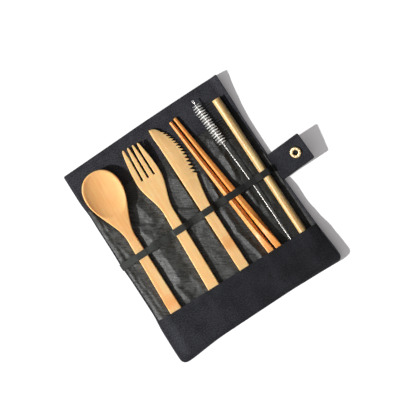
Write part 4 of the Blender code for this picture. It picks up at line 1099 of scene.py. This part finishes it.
def make_fork(finish):
    """The fork: a plate with three slots left out of its grid, each with a half-round root.

    Columns keep their share of the width up to the slots' roots; past them each tine has its own columns, drawn in
    to its rounded tip.
    """
    root, radius = 164.4, 1.0
    tine = (0, 0.03, 0.09, 0.18, 0.32, 0.5, 0.68, 0.82, 0.91, 0.97, 1.0)
    slot = (-0.75, -0.4, 0.0, 0.4, 0.75)
    body = np.concatenate([END_STEPS, np.linspace(6, 120, 26), np.linspace(122.5, root - 1.6, 24)])
    tips = [198.7, 199.2, 199.55, 199.8, 199.93, 200.0]
    s = np.concatenate([body, [root], np.linspace(root + 1.1, 195, 24), np.linspace(196, 198.2, 4), tips])
    first = len(body)

    def slot_middle(at, k):
        """Middle of slot k, which leans towards the fork's middle on the way to the tips."""
        return k * mix(6.7, 5.55, unit((at - root) / 36.4))

    def slot_half(at):
        return mix(radius, 1.85, (past(at, 186) / 14) ** 1.4)

    columns, edges, in_slot = [], [], []
    far = 99 + 0 * s
    at = np.maximum(s, root)
    tip = unit((s - 198.4) / 1.6)
    for t in range(4):
        left = -fork_half(at) if t == 0 else slot_middle(at, t - 2) + slot_half(at)
        right = fork_half(at) if t == 3 else slot_middle(at, t - 1) - slot_half(at)
        centre, wide = (left + right) / 2, (right - left) / 2 * np.sqrt(1 - tip**2 * 0.995)
        for share in tine:
            columns.append(centre + wide * (2 * share - 1))
            from_left, from_right = share * 2 * wide, (1 - share) * 2 * wide
            outer = np.minimum(from_left if t == 0 else far, from_right if t == 3 else far)
            edges.append(np.where(s >= root, np.minimum(from_left, from_right), outer))
            in_slot.append(False)
        for share in slot if t < 3 else ():
            columns.append(slot_middle(at, t - 1) + slot_half(at) * share)
            edges.append(far)
            in_slot.append(True)
    x, edge, in_slot = np.stack(columns, 1), np.stack(edges, 1), np.array(in_slot)
    narrow = np.where(s < root, (fork_half(s) - end_draw(s)) / fork_half(at), 1)[:, None]
    x, edge = x * narrow, edge * narrow
    s = np.repeat(s[:, None], x.shape[1], 1)
    y = s.copy()
    for k in (-1, 0, 1):
        beside = (x[first] - slot_middle(root, k)) / radius
        inside = np.abs(beside) <= 1.001
        y[first, inside] = root + radius - radius * np.sqrt(unit(1 - beside[inside] ** 2))
    y[first] -= radius * 0.6
    y = y - mix(0, 1.8, ramp(x, 6.5, 4)) * ramp(s, 165, 30)
    edge = np.clip(np.minimum(edge, np.minimum(s, (LONG - s) * 1.6)), 0, None)
    thick = mix(HANDLE_THICK, 2.5, ramp(s, 115, 50))
    soft = np.minimum(1.05, thick * 0.46)
    soft = np.where(s > HEAD, np.minimum(soft, 0.45), soft)
    soften = soft * fall(edge / soft)
    low = 5.0 * (past(s, 130) / 70) ** 1.5
    keep = np.ones((len(s) - 1, x.shape[1] - 1), bool)
    keep[first:, in_slot[:-1] | in_slot[1:]] = False
    made = plate("fork_bamboo", FORK, x, y, s, low + thick - soften, low + soften, finish, keep, crease=60)
    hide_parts("fork")


def blade_line(s):
    """The smooth line that the teeth's points follow: out from the handle to the heel, then an ellipse to the tip."""
    heel = mix(knife_half(HEEL), 10.9, unit((s - HEEL) / 39) ** 1.5)
    return np.where(s < 137, heel, belly(s, 19.5) - 1.9 * smooth((168 - s) / 32))


def make_knife(finish):
    """The knife: a plate that thins from its spine to its edge, with hooked teeth.

    Each tooth has a row of points in its valley, one at its point, which is drawn back towards the handle, and two
    down its long flank. Columns near the edge are squeezed into the valleys.
    """
    # Each row: its place along the knife, how deep it cuts in, and how far its edge is drawn back.
    rows = [(s, 0, 0) for s in (*END_STEPS, *np.linspace(6, 96, 24), *np.linspace(HEEL, 136.4, 24))]
    rows += [(137.6, 0.15, 0), (138.6, 0.6, 0.1), (139.6, 1.4, 0.1)]
    s = 142.0
    for k in range(TEETH):
        deep = mix(4.4, 2.8, (k / (TEETH - 1)) ** 0.8)
        pitch = mix(4.2, 3.3, smooth(k / 10))
        rows += [(s - 0.12, deep, 0), (s + 0.14, 0.02, 0.55), (s + 0.5, deep * 0.12, 0.3)]
        rows += [(s + pitch * 0.4, deep * 0.42, 0), (s + pitch * 0.72, deep * 0.78, 0)]
        s += pitch
    rows += [(s - 0.1, 1.3, 0)]
    rows += [(at, 1.3 * (LONG - at) / (LONG - s), 0) for at in mix(s, 199.6, np.linspace(0.12, 1, 12) ** 0.8)]
    rows += [(199.85, 0, 0), (200, 0, 0)]
    s, cut, hook = np.array(rows).T[..., None]
    s = np.maximum.accumulate(s + np.arange(len(s))[:, None] * 1e-5)
    line = blade_line(s) - end_draw(s)
    back = -knife_half(s) - 0.6 * ramp(s, 180, 12) * (1 - ramp(s, 190, 10)) + end_draw(s)
    toothed = ramp(s, 139, 3)
    valley = np.maximum(line - 4.4 * toothed, mix(back, line, 0.3))
    body = np.array([0, 0.02, 0.06, 0.12, 0.22, 0.36, 0.5, 0.64, 0.78, 0.88, 0.95])
    comb = np.array([0.0, 0.25, 0.5, 0.72, 0.88, 0.96, 1.0])
    inner = back + (valley - back) * body
    outer = valley + (np.maximum(line - cut, valley + 0.06) - valley) * comb
    plain = back + (line - cut - back) * np.concatenate([body * 0.86, 0.86 + 0.14 * comb])
    x = mix(plain, np.concatenate([inner, outer], 1), toothed)
    across = unit((x - back) / np.maximum(line - back, 0.1))
    s = np.repeat(s, x.shape[1], 1)
    y = s - hook * np.concatenate([0 * body, comb**1.5])
    blade = ramp(s, HEEL, 40)
    half = mix(mix(KNIFE_THICK, 3.2, blade) / 2, mix(KNIFE_THICK, 1.1, blade) / 2, ramp(across, 0.25, 0.75))
    edge = np.minimum(x - x[:, :1], x[:, -1:] - x)
    edge = np.clip(np.minimum(edge, np.minimum(s, (LONG - s) * 1.2)), 0, None)
    soft = np.minimum(half * 0.9, 1.0)
    half = half - soft * fall(edge / soft) * 0.92
    middle = KNIFE_THICK / 2
    made = plate("knife_bamboo", KNIFE, x, y, s, middle + half, middle - half, finish, crease=55)
    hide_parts("knife")


def make_stick(name, node, stick, full_turn, finish):
    """A chopstick: rounded squares along its length, flat on top at the thick end and then turning edge up."""
    s = np.concatenate([[0, 0.15, 0.5, 1.0, 2], np.linspace(6, 196, 66), [198, 199, 199.5, 199.85, 200]])
    angle = np.linspace(0, 2 * pi, 64, endpoint=False)
    angle, s = np.meshgrid(angle, s)
    turned_by = radians(full_turn) * ramp(s, 34, full_turn * 0.45 + 22)
    power = mix(6.0, 4.0, ramp(s, 70, 70))
    half = stick_half(s) * (1 - 0.16 * fall(s)) * (1 - 0.3 * fall(LONG - s))
    across, up = np.abs(np.cos(angle - turned_by)), np.abs(np.sin(angle - turned_by))
    reach = (across**power + up**power) ** (-1 / power)
    reach = reach * half / np.max(reach * np.cos(angle), axis=1, keepdims=True)
    points = join(reach * np.cos(angle), s, stick_half(s) + reach * np.sin(angle))
    made = skin(name, stick.lay(points), finish, join(angle * stick_half(s), s))
    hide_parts(node)


def make_straw(finish):
    """The straw: a tube of slightly uneven bamboo, whose rings run up its outside and down its bore."""
    outer = np.concatenate([[0, 0.15, 0.5], np.linspace(4, 190, 60), [193.5, 193.85, 194]])
    wall = np.concatenate([[-0.45, -0.15, 0], np.zeros(60), [0, -0.15, -0.45]])
    bore = np.array([194, 193.7, 190, 150, 100, 50, 4, 0.3, 0])
    s = np.concatenate([outer, bore])
    radius = np.concatenate([straw_half(outer) + wall, [3.45, 3.25, 3.2, 3.2, 3.2, 3.2, 3.2, 3.25, 3.45]])
    angle = np.linspace(0, 2 * pi, 56, endpoint=False)
    angle, s = np.meshgrid(angle, s)
    radius = np.repeat(radius[:, None], 56, 1)
    uneven = 0.07 * noise(angle * 4 + 0 * s, s, 22, 71) * np.sin(angle / 2) ** 2
    radius = radius + uneven * (radius > 3.6)
    low, high = straw_half(0), straw_half(STRAW_LONG)
    points = join(radius * np.cos(angle), s, radius * np.sin(angle))
    points = STRAW.lay(points, REST + low, asin((high - low) / STRAW_LONG))
    made = skin("straw_bamboo", points, finish, join(angle * 4.4, s), closed=True)
    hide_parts("straw")


# ---- The straw brush


BRUSH_PITCH = atan(BRUSH_SLOPE)
TWIST = 5.7

# How far the stem is bent to the right, along its length.
STEM_BEND = ((0, 0), (40, 0.05), (97, 0.65), (122, 0.15), (146, -0.45), (200, -1.2))


def brush_place(points):
    """Points along and round the brush's stem, bent a little as it is and put where it lies."""
    s = points[..., 1]
    points = points + join(softened_line(s, STEM_BEND), 0 * s, 0 * s)
    return BRUSH.lay(points, REST + STEM_HALF, BRUSH_PITCH)


def make_wire(finish):
    """The stem: one wire doubled back on itself, its two strands twisted as a helix, and a small eye at the tip."""
    wire, apart, eye = 0.4, 0.2, 198.5
    s = np.arange(0, 196, 0.36)
    turn = 2 * pi * (s - s[-1]) / TWIST
    strand = join(apart * np.cos(turn), s, apart * np.sin(turn))
    other = strand * np.array([-1, 1, -1])
    sweep = np.linspace(-0.35, pi + 0.35, 18)
    side = np.array([cos(turn[-1]), 0, sin(turn[-1])])
    loop = (0.75 * np.cos(sweep))[:, None] * side + (eye + 0.95 * np.sin(sweep))[:, None] * np.array([0, 1, 0])
    path = np.concatenate([strand, loop, other[::-1]])
    made = skin("wire_steel", brush_place(along_path(path, circle(wire, 8))), finish, crease=80)
    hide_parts("brush_wire")


def make_bristles(finish):
    """The bristles: thin hairs through the twisted wire, each turned as the wire is where it passes through.

    A hair is a three-sided spindle from side to side. Its reach is shorter at both ends of the brush, and each has
    a small random lean and length.
    """
    rng = np.random.default_rng(8)
    count = 1500
    low, high = 147, 194
    s = np.sort(rng.uniform(low, high, count))
    turn = 2 * pi * s / TWIST
    turn = turn - 0.42 * np.sin(2 * turn) + rng.normal(0, 0.05, count)
    end = np.minimum(s - low, high - s)
    reach = mix(4.0, 4.85, smooth(end / 5)) + rng.uniform(-0.3, 0.12, count)
    lean = rng.normal(0, 0.025, count)
    along = s - 0.9 * TWIST / (4 * pi) * np.sin(4 * pi * s / TWIST) + rng.normal(0, 0.05, count)
    out = join(np.cos(turn), lean, np.sin(turn))
    side = join(-np.sin(turn), 0 * turn, np.cos(turn))
    share = np.array([-1.0, -0.5, 0.0, 0.5, 1.0])
    thick = 0.085 * np.array([0.7, 1.0, 1.0, 1.0, 0.7])
    middle = out[:, None] * (reach[:, None] * share)[..., None]
    middle[..., 1] += along[:, None]
    middle = middle + side[:, None] * (rng.normal(0, 0.12, count)[:, None] * share**2)[..., None]
    points = brush_place(spindles(middle, side, 0 * side + [0, 1.0, 0], thick, 3))
    quads = ring_faces(5, 3)
    sides = np.concatenate([quads[:, [0, 1, 2]], quads[:, [0, 2, 3]], [[0, 2, 1], [12, 13, 14]]])
    made = swarm("bristle_hairs", points, sides, finish)
    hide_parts("brush_bristles")


# ---- The snap


def make_snap(brass, dark):
    """The snap on the tab, turned from brass: a rolled ring pressed with eight dimples, and a cap with its eyelet."""

    def dimples(radius, angle, height):
        """Round hollows at eight places on the ring's crown."""
        turned_by = (angle * 8 / (2 * pi) + 0.5) % 1 - 0.5
        away = np.hypot(turned_by * 2 * pi * 4.1 / 8, radius - 4.1)
        return 0.34 * np.exp(-((away / 0.5) ** 2)) * (height > 0.8)

    crown = np.linspace(0, pi, 26)
    profile = [(2.7, 0.0), (2.55, 0.5)]
    profile += [(4.15 - 1.6 * cos(t) - 0.1 * sin(t), 0.75 + 1.2 * sin(t) ** 0.7) for t in crown]
    profile += [(5.88, 0.55), (5.9, 0.25), (5.8, 0.0)]

    def above(points):
        return on_tab(points, SNAP_LIFT)

    ring = turned("snap_ring", profile, above, brass, closed=True, press=dimples, crease=60)
    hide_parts("snap_socket")
    eyelet = [(0, 0.1), (1.5, 0.1), (1.62, 0.3), (1.66, 1.5), (1.85, 1.65), (2.08, 1.5), (2.1, -0.35)]
    eyelet += [(4.9, -0.35), (5.35, -0.5), (5.5, -0.8), (5.3, -1.0), (4.4, -1.2), (2.5, -1.32), (0, -1.36)]
    cap = turned("snap_eyelet_cap", eyelet, on_tab, brass)
    # The inside of the eyelet, and the small ring round it, are near-black metal, which makes the hole read dark.
    cap.data.materials.append(dark)
    place = on_tab(np.zeros(3))
    axis = on_tab(np.array([0, 0, 1.0])) - place
    centres = np.empty(len(cap.data.polygons) * 3)
    cap.data.polygons.foreach_get("center", centres)
    off = centres.reshape(-1, 3) / MM - place
    height = off @ axis
    radial = np.linalg.norm(off - height[:, None] * axis, axis=1)
    eyelet_hole, cap_rim = 2.2, -0.6
    inner = (radial < eyelet_hole) & (height > cap_rim)
    cap.data.polygons.foreach_set("material_index", inner.astype(np.int32))
    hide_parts("snap_cap")
    well = [(2.68, 0.05), (2.68, 0.9), (2.2, 0.9), (2.2, 0.05)]
    spring = turned("snap_spring", well, above, dark, closed=True)


def make_stud(brass):
    """The snap's other half on the wrap's outside, and its plate inside: a flat base with a waisted round head."""

    def here(points):
        return points + np.array([STUD[0], STUD[1], 0.0])

    head = [(0, 2.1), (4.2, 2.1), (4.5, 2.0), (4.6, 1.8), (4.3, 1.66), (1.9, 1.6), (1.68, 1.45), (1.68, 1.1)]
    head += [(1.9, 0.95), (2.1, 0.72), (2.0, 0.5), (1.7, 0.36), (1.2, 0.31), (0, 0.3)]
    stud = turned("stud_brass", head, here, brass, steps=64)
    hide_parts("snap_stud")
    disc = [(0, 4.0), (4.6, 4.0), (4.9, 3.85), (5.0, 3.5), (0, 3.5)]
    backing = turned("stud_plate_brass", disc, here, brass, steps=48)
    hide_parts("snap_stud_plate")


# ---- Floor, light and camera


def make_floor():
    """A plain white floor. It shows as white to the camera and a little darker to the light that it throws back."""
    mesh = bpy.data.meshes.new("floor")
    mesh.from_pydata([(-3, -3, 0), (3, -3, 0), (3, 3, 0), (-3, 3, 0)], [], [(0, 1, 2, 3)])
    made = bpy.data.objects.new("floor", mesh)
    bpy.context.scene.collection.objects.link(made)
    f = material("floor_white", Roughness=1.0, Specular_IOR_Level=0.0, Emission_Strength=1.0)
    seen = f.node("ShaderNodeLightPath")[0]
    thrown = f.blend(seen, rgb(0.75, 0.75, 0.75), rgb(1.0, 1.0, 1.0))
    glow = f.blend(seen, rgb(0.0, 0.0, 0.0), rgb(0.155, 0.145, 0.148))
    mesh.materials.append(f.wears(Base_Color=thrown, Emission_Color=glow))


def light_scene():
    """A soft white surround, and one lamp as wide as a window, low from the wrap's left."""
    world = bpy.data.worlds.new("surround")
    bpy.context.scene.world = world
    f = Finish(world, "Background")
    path = f.node("ShaderNodeLightPath")
    toward = f.node("ShaderNodeSeparateXYZ", {}, [f.node("ShaderNodeTexCoord")[0]])
    seen = path[3].greater(path[6]) * (1 - abs(toward[2]).over(0.1, 0.45))
    fill = (0.25 - toward[0] * 0.6).greater(0.02)
    f.wears(Color=rgb(1, 1, 1), Strength=fill.greater(seen).greater(path[0]))
    lamp = bpy.data.lights.new("window", "SUN")
    lamp.energy = 3.62
    lamp.angle = radians(1.6)
    made = bpy.data.objects.new("window", lamp)
    made.rotation_euler = Vector((1, -0.12, -0.787)).to_track_quat("-Z", "Y").to_euler()
    bpy.context.scene.collection.objects.link(made)


def place_camera():
    """Straight down, turned so that the wrap leans as it does in the photograph, from about two metres up."""
    lens = bpy.data.cameras.new("camera")
    lens.lens = 173.1
    lens.sensor_width = 36
    made = bpy.data.objects.new("camera", lens)
    made.location = (0.01124, 0.00468, 2.002)
    made.rotation_euler = (0, 0, radians(-33.45))
    bpy.context.scene.collection.objects.link(made)
    bpy.context.scene.camera = made


def main():
    bpy.context.scene.view_settings.view_transform = "Standard"
    place_camera()
    light_scene()
    make_floor()
    # Canvas tones for the blank's left and right sides; where the right is darker, that is painted shade.
    black = canvas("canvas_black", 1.1, 0.88)
    make_shell(black)
    make_facing(black)
    make_lining(nylon("nylon_lining"))
    make_pocket(canvas("canvas_pocket", 0.8, 0.4))
    make_band(webbing("elastic_black"))
    make_tab(canvas("canvas_tab", 0.6, 0.6))
    black = rgb(0.011, 0.0115, 0.013)
    make_stitches(fibre("thread_black", 0.0006, black, toned(black, 1.7), Roughness=0.75, Specular_IOR_Level=0.3))
    tones = rgb(1.0, 0.69, 0.34), rgb(0.92, 0.46, 0.16), rgb(0.95, 0.38, 0.11)
    make_spoon(bamboo("bamboo_spoon", *tones, (3, 11), joint=50, warm_from=112))
    tones = rgb(1.0, 0.67, 0.32), rgb(0.92, 0.52, 0.2), rgb(0.75, 0.33, 0.09)
    make_fork(bamboo("bamboo_fork", *tones, (27, 5)))
    tones = rgb(0.97, 0.635, 0.3), rgb(0.82, 0.5, 0.2), rgb(0.75, 0.33, 0.09)
    make_knife(bamboo("bamboo_knife", *tones, (51, 37), joint=63))
    tones = rgb(0.96, 0.5, 0.165), rgb(0.76, 0.27, 0.045), rgb(0.42, 0.11, 0.015)
    varnished = bamboo("stick_left", *tones, (33, 47), gloss=0.45, coat=0.5, streak=0.35)
    make_stick("left_chopstick_bamboo", "left_chopstick", LEFT_STICK, 48, varnished)
    tones = rgb(1.0, 0.46, 0.13), rgb(0.8, 0.26, 0.04), rgb(0.42, 0.11, 0.015)
    varnished = bamboo("stick_right", *tones, (77, 21), gloss=0.45, coat=0.25, streak=0.35)
    make_stick("right_chopstick_bamboo", "right_chopstick", RIGHT_STICK, 71, varnished)
    tones = rgb(0.81, 0.555, 0.25), rgb(0.58, 0.34, 0.12), rgb(0.3, 0.16, 0.05)
    make_straw(bamboo("bamboo_straw", *tones, (13, 43), gloss=0.4, coat=0.4, streak=2.2))
    make_wire(metal("steel_bright", rgb(0.95, 0.94, 0.92), 0.45))
    clear, milky = rgb(0.78, 0.78, 0.75), rgb(0.93, 0.93, 0.91)
    nylon_hair = {"Roughness": 0.3, "Specular_IOR_Level": 0.6, "Transmission_Weight": 0.25}
    make_bristles(fibre("bristle_white", 0.0015, clear, milky, **nylon_hair))
    brass = metal("brass_gold", rgb(0.86, 0.63, 0.35), 0.5)
    make_snap(brass, metal("metal_near_black", rgb(0.006, 0.005, 0.004), 0.7))
    make_stud(brass)


main()
